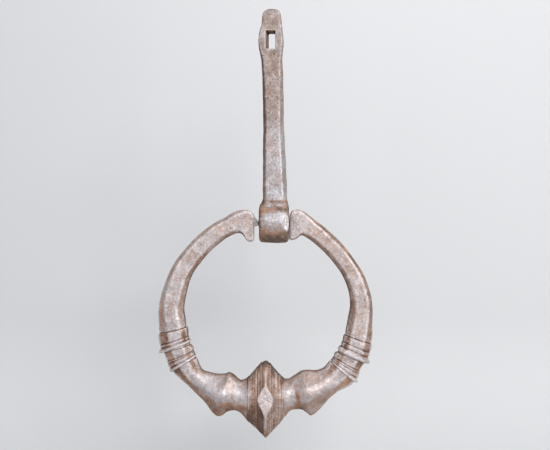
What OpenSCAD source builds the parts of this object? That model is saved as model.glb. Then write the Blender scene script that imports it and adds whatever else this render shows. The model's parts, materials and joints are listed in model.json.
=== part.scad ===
// Hand-forged ring door knocker: a long shank with a rolled eye, and a ring that swings in the eye
// on two pintles. Four collars sit on the ring's arms and a faceted striker bead at its bottom.
// Frame: millimetres. The origin is on the shank's axis where it enters the door face. +Z runs
// along the shank towards the wedge slot, +X along the pivot, and the decorated front of the ring
// faces -Y. Left is -X and right is +X.

/* [Shank] */
// Length of the shank from the door face to its tip
shank_len = 133.8; // [110:0.1:170]
// Width of the shank just above the eye
shank_w = 16.9; // [15:0.1:18]
// Thickness of the shank just above the eye
shank_t = 13.4; // [11:0.1:15]
// Width of the shank at its middle
shank_mid_w = 14.6; // [13:0.1:17]
// Thickness of the shank beside the wedge slot
shank_tip_t = 10.6; // [9:0.1:12]
// Swelling of the shank's width where the slot was drifted through it
slot_swell = 3.2; // [2:0.1:5]
// Distance the shank leans sideways at the slot
shank_lean = -2.0; // [-4:0.1:4]

/* [Wedge slot] */
// Width of the slot at the front face
slot_w = 6.8; // [5:0.1:8]
// Length of the slot along the shank
slot_h = 12.5; // [9:0.1:15]
// Distance from the tip to the middle of the slot
slot_from_tip = 21.8; // [18:0.1:26]
// How much narrower the slot is at the back, all on one side
slot_taper = 2.4; // [0:0.1:3]

/* [Eye] */
// Outer radius of the rolled eye
eye_r = 14.2; // [13:0.1:16]
// Width of the eye along the pivot
eye_w = 20.7; // [18:0.1:21]
// Radius of the pintles on the ring's ends
pintle_r = 3.1; // [2.6:0.1:4]
// Radial clearance of a pintle in the eye's bore
pintle_play = 0.1; // [0.05:0.01:0.1]

/* [Ring] */
// Drop from the pivot axis to the axis of the striker bead
bow_drop = 120.3; // [112:0.1:132]
// Thickness of the ring's bar from front to back at the lugs
bar_t = 13.0; // [11:0.1:15]
// Thickness of the ring's bar from front to back at the collars
bar_low_t = 15.6; // [14:0.1:17]
// Width of the left arm near its lug
left_arm_w = 13.6; // [12:0.1:15]
// Width of the right arm near its lug
right_arm_w = 12.7; // [11.5:0.1:15]
// Width of both arms where they enter the collars
arm_low_w = 17.6; // [16:0.1:19]
// Thickness of the swelled shoulders beside the bead
shoulder_t = 24.4; // [20:0.1:26]
// Radius of the round neck under the bead
neck_r = 9.8; // [8.8:0.1:10.2]

/* [Collars] */
// How far the plain sleeve stands proud of the bar
sleeve_h = 0.8; // [0.5:0.1:1.5]
// How far the upper collar's ridge stands proud of the bar
ridge_h = 3.0; // [2:0.1:4]
// How far the lower collar's ridge stands proud of the bar
low_ridge_h = 2.2; // [1.5:0.1:3]
// Clearance between a collar and the bar it sits on
seat_gap = 0.04; // [0.02:0.01:0.1]

/* [Striker bead] */
// Length of the bead along the ring
bead_len = 25.0; // [23:0.1:27]
// Height of the bead's inner point above its axis
bead_in = 23.6; // [20:0.1:28]
// Height of the bead's outer point below its axis
bead_out = 28.4; // [26:0.1:32]
// Distance from the bead's axis to its flat front and back lozenges
bead_face = 13.4; // [12.5:0.1:15]
// Depth of the filed grooves round the bead
groove = 0.55; // [0.2:0.05:0.8]

/* [Hidden] */

iron = [0.45, 0.36, 0.32];
iron_dark = [0.38, 0.29, 0.25];
iron_pale = [0.52, 0.44, 0.40];

pivot_z = -eye_r;
bead_x = -5.8;
core_r = neck_r - 0.3; // the neck inside the bead
round_fn = 64;

// ---------- ring centreline ----------
// [x, z below the pivot], from the lug to the bead's axis, drawn for a drop of drawn_drop.
// A station on an arm is a knot's index here, with a fraction for the way to the next knot.
drawn_drop = 120.3;
left_knots = [
    [-14.5, -1.9], [-19.0, -0.9], [-24.5, -0.5], [-32.2, -2.8], [-44.7, -11.2], [-56.5, -23.7],
    [-63.6, -33.9], [-68.0, -45.5], [-71.2, -61.1], [-70.4, -71.2], [-68.3, -85.7], [-63.2, -98.3],
    [-54.9, -108.3], [-46.2, -114.4], [-36.0, -119.0], [-26.2, -120.2], [bead_x, -drawn_drop]];
right_knots = [
    [11.4, -1.7], [15.9, -1.2], [20.2, -1.8], [26.6, -5.2], [35.2, -12.1], [49.0, -27.1],
    [58.1, -44.2], [60.7, -58.4], [59.6, -71.0], [58.9, -77.2], [54.9, -92.3], [48.6, -103.6],
    [40.7, -110.4], [31.7, -115.0], [22.4, -117.8], [15.0, -119.6], [bead_x, -drawn_drop]];
function scaled(knots) = [for (knot = knots) [knot[0], knot[1] * (bow_drop / drawn_drop)]];

// ---------- ring cross-sections ----------
// Half widths (hw) and half thicknesses (ht) of the bar
left_hw = left_arm_w / 2;
right_hw = right_arm_w / 2;
low_hw = arm_low_w / 2;
lug_ht = bar_t / 2;
low_ht = bar_low_t / 2;
big_ht = shoulder_t / 2;

// Each row is an octagon:
// [station, outer half width, inner half width, half thickness,
//  front and back flats' reach outwards, and inwards,
//  outer side flat's half depth, inner side flat's half depth, corner round]
left_rows = [
    [0, 8.0, 9.2, lug_ht - 0.9, 7.0, 8.2, 4.2, 4.2, 1.2],
    [0.15, 9.0, 10.3, lug_ht - 0.4, 8.0, 9.2, 4.6, 4.6, 1.4],
    [0.7, 10.2, 11.2, lug_ht - 0.2, 9.0, 10.0, 4.8, 4.8, 1.6],
    [1.1, 10.0, 10.2, lug_ht, 8.3, 8.8, 4.7, 4.7, 1.6],
    [1.6, 9.3, 8.4, lug_ht, 7.0, 6.8, 4.4, 4.4, 1.6],
    [2, 8.6, 7.1, lug_ht, 5.8, 5.3, 4.2, 4.2, 1.5],
    [2.5, 7.4, 6.6, lug_ht, 4.7, 4.5, 4.1, 4.1, 1.4],
    [3, left_hw - 0.5, left_hw - 0.3, lug_ht, 3.9, 3.9, 4.0, 4.0, 1.4],
    [4, left_hw + 0.2, left_hw, lug_ht, 3.9, 4.2, 3.9, 4.0, 1.4],
    [5, left_hw + 0.4, left_hw, lug_ht + 0.1, 4.3, 4.0, 3.9, 3.9, 1.4],
    [6, left_hw + 0.8, left_hw + 0.3, lug_ht + 0.3, 4.0, 4.1, 3.9, 3.8, 1.5],
    [7, left_hw + 1.4, left_hw + 0.9, lug_ht + 0.6, 4.0, 4.3, 3.9, 3.9, 1.6],
    [8, low_hw, low_hw - 0.2, low_ht - 0.3, 3.4, 4.8, 3.8, 4.3, 1.8],
    [9, low_hw + 0.6, low_hw + 0.2, low_ht, 1.9, 5.4, 3.6, 4.8, 1.8],
    [9.25, low_hw + 0.6, low_hw + 0.2, low_ht, 1.7, 5.5, 3.6, 4.9, 1.6],
    [10.1, low_hw + 0.4, low_hw + 0.2, low_ht - 0.2, 1.7, 5.6, 3.6, 4.9, 1.5],
    [10.2, low_hw - 0.2, low_hw + 1.2, low_ht - 0.4, 1.6, 5.6, 3.4, 4.8, 1.5],
    [10.35, low_hw - 0.2, low_hw + 2.3, low_ht - 0.5, 1.5, 5.6, 3.4, 4.7, 1.5],
    [10.48, low_hw - 0.4, low_hw + 2.0, low_ht - 0.5, 1.4, 5.4, 3.3, 4.7, 1.5],
    [10.55, low_hw - 0.5, low_hw + 1.0, low_ht - 0.5, 1.4, 5.2, 3.3, 4.6, 1.5],
    [11.05, low_hw - 0.5, low_hw + 0.5, low_ht - 0.6, 1.2, 4.8, 3.2, 4.2, 1.8],
    [11.18, low_hw - 0.6, low_hw + 1.1, low_ht - 0.7, 1.2, 4.6, 3.1, 4.0, 2.0],
    [11.35, low_hw - 1.2, low_hw + 0.8, low_ht - 0.8, 1.2, 4.3, 3.0, 3.8, 2.2],
    [11.6, left_hw + 0.3, low_hw, low_ht - 0.9, 1.2, 4.0, 2.9, 3.6, 2.3],
    [12, left_hw, left_hw + 1.1, low_ht - 0.8, 1.2, 3.8, 2.8, 3.4, 2.4],
    [12.6, left_hw + 0.8, left_hw + 2.6, low_ht + 0.1, 1.2, 3.8, 2.6, 3.4, 2.6],
    [13, left_hw + 1.9, left_hw + 3.9, low_ht + 1.1, 1.3, 3.8, 2.6, 3.4, 2.8],
    [13.5, left_hw + 4.4, left_hw + 6.1, big_ht - 1.6, 1.5, 3.9, 2.6, 3.4, 3.0],
    [13.85, left_hw + 7.7, left_hw + 7.4, big_ht - 0.3, 1.6, 4.0, 2.6, 3.4, 3.2],
    [14.03, left_hw + 8.9, left_hw + 8.1, big_ht, 1.7, 4.1, 2.7, 3.6, 3.2],
    [14.2, left_hw + 8.0, left_hw + 8.5, big_ht - 0.2, 1.8, 4.2, 2.9, 3.8, 3.4],
    [14.45, left_hw + 4.6, left_hw + 8.4, big_ht - 1.2, 2.6, 4.3, 3.2, 4.0, 3.6],
    [14.75, left_hw + 3.4, left_hw + 7.2, big_ht - 2.2, 3.4, 4.3, 3.6, 4.2, 3.6],
    [15, neck_r + 0.2, left_hw + 5.1, neck_r + 0.3, 3.9, 4.2, 4.0, 4.2, 4.0],
    [15.18, neck_r, neck_r + 0.6, neck_r, 4.0, 4.0, 4.0, 4.0, 4.2],
    [15.345, neck_r, neck_r, neck_r, 4.0, 4.0, 4.0, 4.0, 4.4],
    [15.36, core_r, core_r, core_r, 3.9, 3.9, 3.9, 3.9, 4.4]];
right_rows = [
    [0, 8.0, 10.2, lug_ht - 0.9, 7.0, 9.1, 4.0, 4.2, 1.2],
    [0.3, 10.5, 10.8, lug_ht - 0.4, 9.3, 9.7, 4.5, 4.6, 1.4],
    [0.75, 10.5, 10.7, lug_ht - 0.2, 9.2, 9.5, 4.7, 4.8, 1.6],
    [1.15, 10.3, 9.9, lug_ht, 8.8, 8.6, 4.7, 4.8, 1.6],
    [1.6, 9.2, 8.4, lug_ht, 7.5, 7.0, 4.5, 4.5, 1.6],
    [2.1, 8.0, 7.4, lug_ht, 6.1, 5.7, 4.3, 4.3, 1.5],
    [3, right_hw + 0.3, right_hw + 0.3, lug_ht, 4.3, 4.2, 4.1, 4.1, 1.4],
    [4, right_hw, right_hw, lug_ht, 3.6, 3.8, 3.9, 3.9, 1.4],
    [5, right_hw + 0.1, right_hw, lug_ht + 0.1, 3.8, 3.7, 3.9, 3.9, 1.4],
    [6, right_hw + 0.5, right_hw + 0.5, lug_ht + 0.4, 4.1, 3.9, 3.9, 3.9, 1.5],
    [7, right_hw + 1.1, right_hw + 1.2, lug_ht + 0.7, 4.4, 4.2, 3.9, 3.9, 1.6],
    [8, low_hw - 0.2, low_hw - 0.3, low_ht - 0.2, 4.4, 4.5, 3.9, 4.1, 1.7],
    [9, low_hw + 0.6, low_hw + 0.1, low_ht, 3.6, 5.0, 3.8, 4.5, 1.8],
    [9.25, low_hw + 0.7, low_hw + 0.1, low_ht, 3.3, 5.1, 3.8, 4.6, 1.6],
    [10.1, low_hw + 0.3, low_hw + 0.8, low_ht - 0.2, 2.8, 5.4, 3.7, 4.8, 1.5],
    [10.2, low_hw - 0.3, low_hw + 2.2, low_ht - 0.4, 2.6, 5.6, 3.6, 4.8, 1.5],
    [10.35, low_hw - 0.6, low_hw + 3.1, low_ht - 0.6, 2.6, 5.8, 3.6, 4.7, 1.5],
    [10.48, low_hw - 0.8, low_hw + 3.0, low_ht - 0.5, 2.4, 5.6, 3.5, 4.7, 1.5],
    [10.55, low_hw - 0.6, low_hw + 2.2, low_ht - 0.5, 2.2, 5.4, 3.5, 4.7, 1.5],
    [11.05, low_hw + 0.5, low_hw + 1.8, low_ht - 0.4, 1.8, 5.2, 3.4, 4.4, 1.8],
    [11.18, low_hw + 0.8, low_hw + 3.2, low_ht - 0.4, 1.7, 5.0, 3.3, 4.2, 2.0],
    [11.4, low_hw + 0.3, low_hw + 3.1, low_ht - 0.5, 1.5, 4.8, 3.2, 4.0, 2.2],
    [12, low_hw - 1.2, low_hw + 2.2, low_ht + 0.2, 1.3, 4.4, 3.0, 3.8, 2.4],
    [12.6, low_hw, low_hw + 2.9, low_ht + 1.6, 1.3, 4.0, 2.8, 3.6, 2.6],
    [13, low_hw + 2.1, low_hw + 4.2, big_ht - 1.9, 1.4, 3.9, 2.6, 3.5, 2.8],
    [13.5, low_hw + 5.3, low_hw + 5.8, big_ht - 0.6, 1.5, 3.9, 2.6, 3.5, 3.0],
    [13.9, low_hw + 7.4, low_hw + 6.2, big_ht, 1.6, 4.0, 2.7, 3.6, 3.2],
    [14.12, low_hw + 7.8, low_hw + 5.8, big_ht - 0.1, 1.7, 4.1, 2.8, 3.7, 3.2],
    [14.4, low_hw + 5.4, low_hw + 5.1, big_ht - 0.8, 2.2, 4.2, 3.0, 3.9, 3.4],
    [14.7, low_hw + 2.4, low_hw + 4.5, big_ht - 1.6, 2.9, 4.3, 3.4, 4.1, 3.6],
    [15, neck_r + 0.4, low_hw + 3.8, big_ht - 2.3, 3.6, 4.3, 3.8, 4.2, 3.8],
    [15.2, neck_r, neck_r + 1.9, neck_r + 0.3, 3.9, 4.2, 4.0, 4.2, 4.0],
    [15.345, neck_r, neck_r + 0.4, neck_r, 4.0, 4.0, 4.0, 4.0, 4.2],
    [15.36, core_r, core_r, core_r, 3.9, 3.9, 3.9, 3.9, 4.4]];

// [centreline, rows, side]. Outlines on both arms face the same way round the ring, so the
// right arm's side of -1 turns its direction round
left_arm = [scaled(left_knots), left_rows, 1];
right_arm = [scaled(right_knots), right_rows, -1];

// ---------- curve along a centreline ----------
function span(path, i) = norm(path[i + 1] - path[i]);
function slope(path, i) = (path[i + 1] - path[i]) / span(path, i);
function level(path, i) = [sign(path[i + 1][0] - path[i][0]), 0];
// Direction at knot i: the two chords weighted by each other's length, and level at both ends
function knot_dir(path, i) =
    i == 0 ? level(path, 0) :
    i == len(path) - 1 ? level(path, i - 1) :
    (slope(path, i - 1) * span(path, i) + slope(path, i) * span(path, i - 1))
    / (span(path, i - 1) + span(path, i));
// Cubic Hermite curve through the knots
function at(path, station) =
    let (i = floor(station), t = station - i,
         start = knot_dir(path, i) * span(path, i),
         end = knot_dir(path, i + 1) * span(path, i))
    path[i] * (2 * t * t * t - 3 * t * t + 1) + start * (t * t * t - 2 * t * t + t)
    + path[i + 1] * (3 * t * t - 2 * t * t * t) + end * (t * t * t - t * t);
function unit(v) = v / norm(v);
function chord(path, station) = unit(at(path, station + 0.02) - at(path, station - 0.02));
// Direction of the sections: turned evenly away from X over the lug, so that no two cross
lug_end = 2.2;
function dir(path, station) =
    let (turn = station / lug_end)
    turn < 1 ? unit(level(path, 0) * (1 - turn) + chord(path, lug_end) * turn) :
    chord(path, station);
// The tops of the upper collars, and the bar there, stand a little askew
askew = 0.13;
function tilt(station) =
    station < 8 || station > 9.95 ? 0 :
    station < 9 ? askew * (station - 8) :
    station < 9.3 ? askew :
    askew * (9.95 - station) / 0.65;

// ---------- outlines ----------
// The row at a station, interpolated in a table
function row_at(rows, station, i = 0) =
    i >= len(rows) - 1 ? rows[len(rows) - 1] :
    station <= rows[i + 1][0] ?
        rows[i] + (rows[i + 1] - rows[i]) * ((station - rows[i][0]) / (rows[i + 1][0] - rows[i][0])) :
    row_at(rows, station, i + 1);
// A row grown on every side, its flats by a smaller share
function grown(row, extra) =
    let (flat = extra * 0.45)
    row + [0, extra, extra, extra, flat, flat, flat, flat, 0];
// The octagon of a row, as [out, depth] points
function corners(row) = [
    [row[4], -row[3]], [row[1], -row[6]], [row[1], row[6]], [row[4], row[3]],
    [-row[5], row[3]], [-row[2], row[7]], [-row[2], -row[7]], [-row[5], -row[3]]];
function toward(from, to, radius) = from + (to - from) * min(0.42, radius / norm(to - from));
// The octagon with each corner rounded by three points
function outline(row) =
    let (points = corners(row))
    [for (i = [0:7])
        let (corner = points[i],
             before = toward(corner, points[(i + 7) % 8], row[8]),
             after = toward(corner, points[(i + 1) % 8], row[8]))
        each [before, before * 0.25 + corner * 0.5 + after * 0.25, after]];
// An arm's outline at a station, standing proud of the bar's
function section(arm, station, proud = 0) =
    let (side = arm[2], centre = at(arm[0], station), along = dir(arm[0], station) * side,
         out = [along[1], -along[0]], skew = tilt(station) * side)
    [for (q = outline(grown(row_at(arm[1], station), proud)))
        let (place = centre + out * q[0] + along * (q[0] * skew))
        [place[0], q[1], pivot_z + place[1]]];

// ---------- skins ----------
function reversed(list) = [for (i = [len(list) - 1:-1:0]) list[i]];
// Outlines with their points in the other order
function turned(sections) = [for (ring = sections) reversed(ring)];
function mean(points) = [for (q = points) 1] * points / len(points);
// Triangles between each outline and the next, the last one being followed by the first
function wall(bands, count, sides) =
    [for (i = [0:bands - 1], j = [0:sides - 1])
        let (a = i * sides, b = (i + 1) % count * sides, next = (j + 1) % sides)
        each [[a + j, a + next, b + j], [a + next, b + next, b + j]]];
// A closed skin over a list of outlines, with flat ends
module skin(sections) {
    sides = len(sections[0]);
    count = len(sections);
    first = count * sides;
    last = first - sides;
    polyhedron(
        concat([for (ring = sections) each ring], [mean(sections[0]), mean(sections[count - 1])]),
        concat(wall(count - 1, count, sides),
            [for (j = [0:sides - 1]) [first, (j + 1) % sides, j]],
            [for (j = [0:sides - 1]) [first + 1, last + j, last + (j + 1) % sides]]));
}
// A closed sleeve: the outlines run out along the outside and back along the inside
module sleeve(sections) {
    count = len(sections);
    polyhedron([for (ring = sections) each ring], wall(count, count, len(sections[0])));
}

// ---------- ring bar ----------
// Stations in a collar's seat are shared with the collar, so their facets match
seat = [9.25, 9.42, 9.6, 9.78, 9.94, 10.1];
low_seat = [10.55, 10.68, 10.82, 10.94, 11.05];
stations = concat(
    [0, 0.15, 0.3, 0.5, 0.7, 0.9, 1.1, 1.35, 1.6, 1.8],
    [for (i = [0:28]) 2 + i * 0.25],
    seat, [10.2, 10.35, 10.48], low_seat,
    [11.18, 11.36, 11.6, 11.8, 12, 12.2, 12.4, 12.6, 12.8, 13, 13.15, 13.3, 13.5, 13.7, 13.85,
     13.95, 14.03, 14.12, 14.2, 14.32, 14.45, 14.6, 14.75, 14.88, 15, 15.1, 15.18, 15.28,
     15.345, 15.36]);
module ring_bar() {
    color(iron) union() {
        skin(turned(concat(
            [for (station = stations) section(left_arm, station)],
            [for (station = reversed(stations)) section(right_arm, station)])));
        pintle(left_knots[0][0], way = 1, cone = 2.9, base = lug_ht - 1.6);
        pintle(right_knots[0][0], way = -1, cone = 0.6, base = lug_ht - 1.8);
    }
}
// A tapering nub and the round pintle that turns in the eye. way is its direction in X, cone the
// nub's length and base its radius
pintle_root = 5; // depth inside the lug
pintle_stop = 1.4; // distance from the pintle's end to the middle of the eye
pintle_edge = 0.8;
module pintle(x, way, cone, base) {
    tip = abs(x + way * pintle_stop);
    translate([x, 0, pivot_z]) rotate([0, way * 90, 0]) rotate_extrude($fn = round_fn)
        polygon([[0, -pintle_root], [base, -pintle_root], [base, 0.3],
            [base - (base - pintle_r) * 0.3, cone * 0.5], [pintle_r, cone],
            [pintle_r, tip - pintle_edge], [pintle_r - pintle_edge, tip], [0, tip]]);
}

// ---------- collars ----------
// Outer profile of each collar: [station, height over the bar]
left_profile = [
    [9.25, 0.25], [9.3, sleeve_h], [9.7, sleeve_h + 0.1], [9.77, sleeve_h - 0.55],
    [9.83, sleeve_h + 0.35], [9.87, sleeve_h + 0.35], [9.93, sleeve_h - 0.4],
    [9.97, sleeve_h + 0.3], [10.03, ridge_h], [10.08, ridge_h], [10.1, 0.8]];
right_profile = [
    [9.25, 0.25], [9.3, sleeve_h], [9.53, sleeve_h + 0.1], [9.6, sleeve_h - 0.55],
    [9.67, sleeve_h + 0.35], [9.75, sleeve_h + 0.35], [9.82, sleeve_h - 0.4],
    [9.88, sleeve_h + 0.3], [9.97, ridge_h], [10.04, ridge_h], [10.1, 0.8]];
lower_profile = [
    [10.55, 0.2], [10.6, 0.9], [10.66, 0.3], [10.72, 1.0], [10.8, 1.1], [10.86, 0.4],
    [10.92, low_ridge_h - 0.2], [10.99, low_ridge_h], [11.05, 0.3]];
module collar(arm, profile, inner) {
    sections = concat(
        [for (q = profile) section(arm, q[0], q[1])],
        [for (station = reversed(inner)) section(arm, station, seat_gap)]);
    sleeve(arm[2] > 0 ? turned(sections) : sections);
}
module left_upper_collar() { color(iron_pale) collar(left_arm, left_profile, seat); }
module left_lower_collar() { color(iron_pale) collar(left_arm, lower_profile, low_seat); }
module right_upper_collar() { color(iron_pale) collar(right_arm, right_profile, seat); }
module right_lower_collar() { color(iron_pale) collar(right_arm, lower_profile, low_seat); }

// ---------- striker bead ----------
// [share of the half length, outer height, inner height, half thickness before the lozenges are cut]
bead_rows = [
    [0, bead_out, bead_in, 18.4],
    [0.06, bead_out - 0.6, bead_in - 0.6, 17.9],
    [0.26, bead_out - 3.0, bead_in - 3.0, 16.0],
    [0.5, bead_out - 5.8, bead_in - 5.9, 14.0],
    [0.72, bead_out - 8.2, bead_in - 8.4, 12.7],
    [0.9, bead_out - 10.8, bead_in - 10.6, 12.0],
    [1, bead_out - 13.8, bead_in - 11.9, 11.3]];
// Sections of half the bead: [share of the half length, depth of cut]
half_bead = concat([[0.07, 0]],
    [for (share = [0.19, 0.36, 0.53, 0.68, 0.86])
        each [[share - 0.035, 0], [share, groove], [share + 0.035, 0]]],
    [[1, 0]]);
bead_cuts = concat([for (q = reversed(half_bead)) [-q[0], q[1]]], [[0, 0]], half_bead);
// The bead's outline across X. Its flats widen and its corners soften towards the ends
function bead_section(share, cut) =
    let (row = row_at(bead_rows, abs(share)), mid = max(0, 1 - abs(share) / 0.9),
         flat = 4.2 - 3.2 * mid,
         full = [0, row[1], row[2], row[3], flat, flat, 4.6, 4.6, 3.4 - 2.6 * mid])
    [for (q = outline(grown(full, -cut))) [share * bead_len / 2, q[1], -q[0]]];
module striker_bead() {
    color(iron_dark) translate([bead_x, 0, pivot_z - bow_drop]) difference() {
        intersection() {
            skin(turned([for (q = bead_cuts) bead_section(q[0], q[1])]));
            cube([60, bead_face * 2, 90], center = true);
        }
        rotate([0, 90, 0]) cylinder(r = neck_r + seat_gap, h = 80, center = true, $fn = round_fn);
    }
}

// ---------- shank and eye ----------
slot_z = shank_len - slot_from_tip;
top_hw = shank_w / 2;
mid_hw = shank_mid_w / 2;
slot_hw = mid_hw + slot_swell / 2;
shank_ht = shank_t / 2;
tip_ht = shank_tip_t / 2;
// [height, half width left, half width right, half thickness, chamfer, corner round]
shank_rows = [
    [-eye_r + 4, 9.0, 9.3, 9.5, 1.6, 0.8],
    [-3.9, 9.2, 9.5, 9.4, 1.8, 0.8],
    [-1.2, 9.0, 9.4, 8.7, 2.2, 0.8],
    [1.4, 8.8, 9.2, 7.9, 2.6, 0.8],
    [1.9, 8.6, 9.0, shank_ht + 0.1, 2.8, 0.8],
    [9, top_hw - 0.4, top_hw + 0.2, shank_ht, 3.2, 1.0],
    [30, top_hw - 0.9, top_hw - 0.3, shank_ht - 0.1, 3.2, 1.0],
    [52, mid_hw - 0.6, mid_hw - 0.1, shank_ht - 0.3, 3.0, 1.0],
    [74, mid_hw - 0.8, mid_hw, shank_ht - 0.6, 2.8, 1.0],
    [slot_z - 24, mid_hw - 0.6, mid_hw - 0.3, tip_ht + 0.5, 2.2, 1.0],
    [slot_z - 14, mid_hw - 0.2, mid_hw - 0.2, tip_ht + 0.2, 1.6, 0.8],
    [slot_z - 7, slot_hw - 0.9, slot_hw - 0.9, tip_ht, 1.2, 0.8],
    [slot_z, slot_hw, slot_hw - 0.3, tip_ht, 1.1, 0.8],
    [slot_z + 7, mid_hw + 0.5, mid_hw + 0.5, tip_ht - 0.2, 1.1, 0.8],
    [slot_z + 11.5, mid_hw - 0.5, mid_hw - 0.2, tip_ht - 0.4, 1.1, 0.8],
    [shank_len - 4.2, mid_hw - 1.0, mid_hw - 0.9, tip_ht - 0.7, 1.3, 0.8],
    [shank_len - 1.6, mid_hw - 2.3, mid_hw - 1.9, tip_ht - 1.2, 1.5, 0.8],
    [shank_len - 0.4, mid_hw - 3.9, mid_hw - 3.1, tip_ht - 2.1, 1.4, 0.8],
    [shank_len, mid_hw - 5.2, mid_hw - 4.4, tip_ht - 3.0, 0.9, 0.5]];
// Sideways place of the shank's middle at a height
foot_x = 0.4;
lean_from = 9;
function lean(z) =
    z < lean_from ? foot_x :
    foot_x + (shank_lean - foot_x) * (z - lean_from) / (slot_z - lean_from)
        * (z < slot_z ? 1 : 1 - 0.35 * (z - slot_z) / slot_from_tip);
function shank_section(row) =
    let (left = row[1], right = row[2], depth = row[3], chamfer = row[4], side = depth - chamfer)
    [for (q = outline([0, left, right, depth, left - chamfer, right - chamfer, side, side, row[5]]))
        [lean(row[0]) - q[0], q[1], row[0]]];
module shank() {
    color(iron) difference() {
        union() {
            skin([for (row = shank_rows) shank_section(row)]);
            translate([0, 0, pivot_z]) rotate([0, 90, 0]) eye_barrel();
        }
        translate([0, 0, pivot_z]) rotate([0, 90, 0])
            cylinder(r = pintle_r + pintle_play, h = 60, center = true, $fn = round_fn);
        wedge_slot();
    }
}
// The rolled eye, turned about the pivot, with its end edges eased
module eye_barrel() {
    end = eye_w / 2;
    rotate_extrude($fn = 96) polygon([
        [0, -end], [eye_r - 1.6, -end], [eye_r - 0.5, -end + 0.5], [eye_r, -end + 1.8],
        [eye_r, end - 1.8], [eye_r - 0.5, end - 0.5], [eye_r - 1.6, end], [0, end]]);
}
// The slot's upper and lower walls are square to the shank, and its left wall slants. The cut
// runs on past the front and back faces by half the shank's thickness
module wedge_slot() {
    half = slot_w / 2;
    y = shank_tip_t;
    translate([lean(slot_z) - 0.5, 0, slot_z - slot_h / 2]) linear_extrude(height = slot_h)
        polygon([[-half - slot_taper / 2, -y], [half, -y], [half, y], [-half + slot_taper * 1.5, y]]);
}

shank();
ring_bar();
striker_bead();
left_upper_collar();
left_lower_collar();
right_upper_collar();
right_lower_collar();
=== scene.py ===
"""A forged iron ring with a striker bead, hung by two pintles in the eye of an upright shank.

X is right, Y is back (the front faces -Y) and Z is up. The shank rises from the eye, whose axis
lies along X through the pivot. The ring hangs below it, its two arms meeting in the bead.
Lengths are in millimetres and become metres when a mesh is made; the stage is in metres.
"""
import json
import math
from itertools import product

import bpy
import numpy as np
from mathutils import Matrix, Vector


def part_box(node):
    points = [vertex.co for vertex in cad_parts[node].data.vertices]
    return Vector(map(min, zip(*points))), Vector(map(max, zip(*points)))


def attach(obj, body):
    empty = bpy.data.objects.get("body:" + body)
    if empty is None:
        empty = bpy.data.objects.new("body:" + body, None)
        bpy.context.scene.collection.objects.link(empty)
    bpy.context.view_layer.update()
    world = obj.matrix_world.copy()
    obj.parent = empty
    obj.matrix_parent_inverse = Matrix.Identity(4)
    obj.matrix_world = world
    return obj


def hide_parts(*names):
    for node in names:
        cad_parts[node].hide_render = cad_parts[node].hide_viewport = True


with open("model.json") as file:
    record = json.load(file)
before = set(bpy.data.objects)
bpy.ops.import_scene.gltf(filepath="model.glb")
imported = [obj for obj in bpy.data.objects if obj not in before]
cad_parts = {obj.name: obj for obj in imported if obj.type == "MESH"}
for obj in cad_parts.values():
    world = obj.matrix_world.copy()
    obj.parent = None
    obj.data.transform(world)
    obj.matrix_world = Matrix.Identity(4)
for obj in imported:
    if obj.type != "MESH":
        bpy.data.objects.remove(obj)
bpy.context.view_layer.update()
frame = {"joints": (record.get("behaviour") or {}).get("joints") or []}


def box_mm(node):
    return [np.array(corner) * 1000.0 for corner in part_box(node)]


PIVOT_Z = frame["joints"][0]["pos_m"][2] * 1000.0
TIP_Z = box_mm("shank")[1][2]
BEAD_LOW, BEAD_HIGH = box_mm("striker_bead")
BEAD_X = (BEAD_LOW[0] + BEAD_HIGH[0]) / 2
BEAD_HALF = (BEAD_HIGH[0] - BEAD_LOW[0]) / 2      # half length along X
BEAD_BELOW, BEAD_ABOVE = 28.4, 23.6               # reach below and above the neck's axis
BEAD_Z = BEAD_LOW[2] + BEAD_BELOW                 # height of the neck's axis
BEAD_FACE = -BEAD_LOW[1]                          # front face, out from the middle plane
BOW = PIVOT_Z - BEAD_Z                            # drop from the pivot to the neck
TABLE_BOW = 120.3                                 # drop that the centreline tables are drawn to
FIT_GAP = 0.04                                    # between a collar or bead and the bar inside it


# ------------------------------------------------------------------ noise and falloffs
def hash_unit(cell, seed):
    """A fixed random number from 0 to 1 for each integer cell."""
    mixed = ((cell[..., 0] * 73856093) ^ (cell[..., 1] * 19349663)
             ^ (cell[..., 2] * 83492791) ^ (seed * 668265263))
    mixed &= 0xFFFFFFFF
    for _ in range(2):
        mixed = (((mixed >> 16) ^ mixed) * 0x45D9F3B) & 0xFFFFFFFF
    return (((mixed >> 16) ^ mixed) & 0xFFFFFF) / float(0xFFFFFF)


def cells(pos, scale):
    scaled = pos / np.asarray(scale, float)
    return scaled, np.floor(scaled).astype(np.int64)


def value_noise(pos, scale, seed):
    scaled, cell = cells(pos, scale)
    part = scaled - cell
    fade = part * part * part * (part * (part * 6 - 15) + 10)
    total = 0.0
    for corner in product((0, 1), repeat=3):
        weight = np.where(corner, fade, 1 - fade).prod(-1)
        total = total + weight * hash_unit(cell + corner, seed)
    return total * 2 - 1


def fbm(pos, scale, octaves, seed):
    """Fractal noise from -1 to 1: each octave is half as large and half as strong."""
    total, strength, strengths = 0.0, 1.0, 0.0
    scale = np.asarray(scale, float)
    for octave in range(octaves):
        total = total + strength * value_noise(pos, scale, seed + 17 * octave)
        strengths += strength
        strength *= 0.5
        scale = scale * 0.5
    return total / strengths


def worley(pos, scale, seed):
    """Distance to the nearest cell point in cell units, and that cell's own random number."""
    scaled, cell = cells(pos, scale)
    nearest = np.full(scaled.shape[:-1], 9.0)
    chance = np.zeros(scaled.shape[:-1])
    for step in product((-1, 0, 1), repeat=3):
        other = cell + step
        jitter = np.stack([hash_unit(other, seed + axis) for axis in range(3)], -1)
        distance = np.sqrt(((other + jitter - scaled) ** 2).sum(-1))
        closer = distance < nearest
        nearest = np.where(closer, distance, nearest)
        chance = np.where(closer, hash_unit(other, seed + 3), chance)
    return nearest, chance


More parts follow.
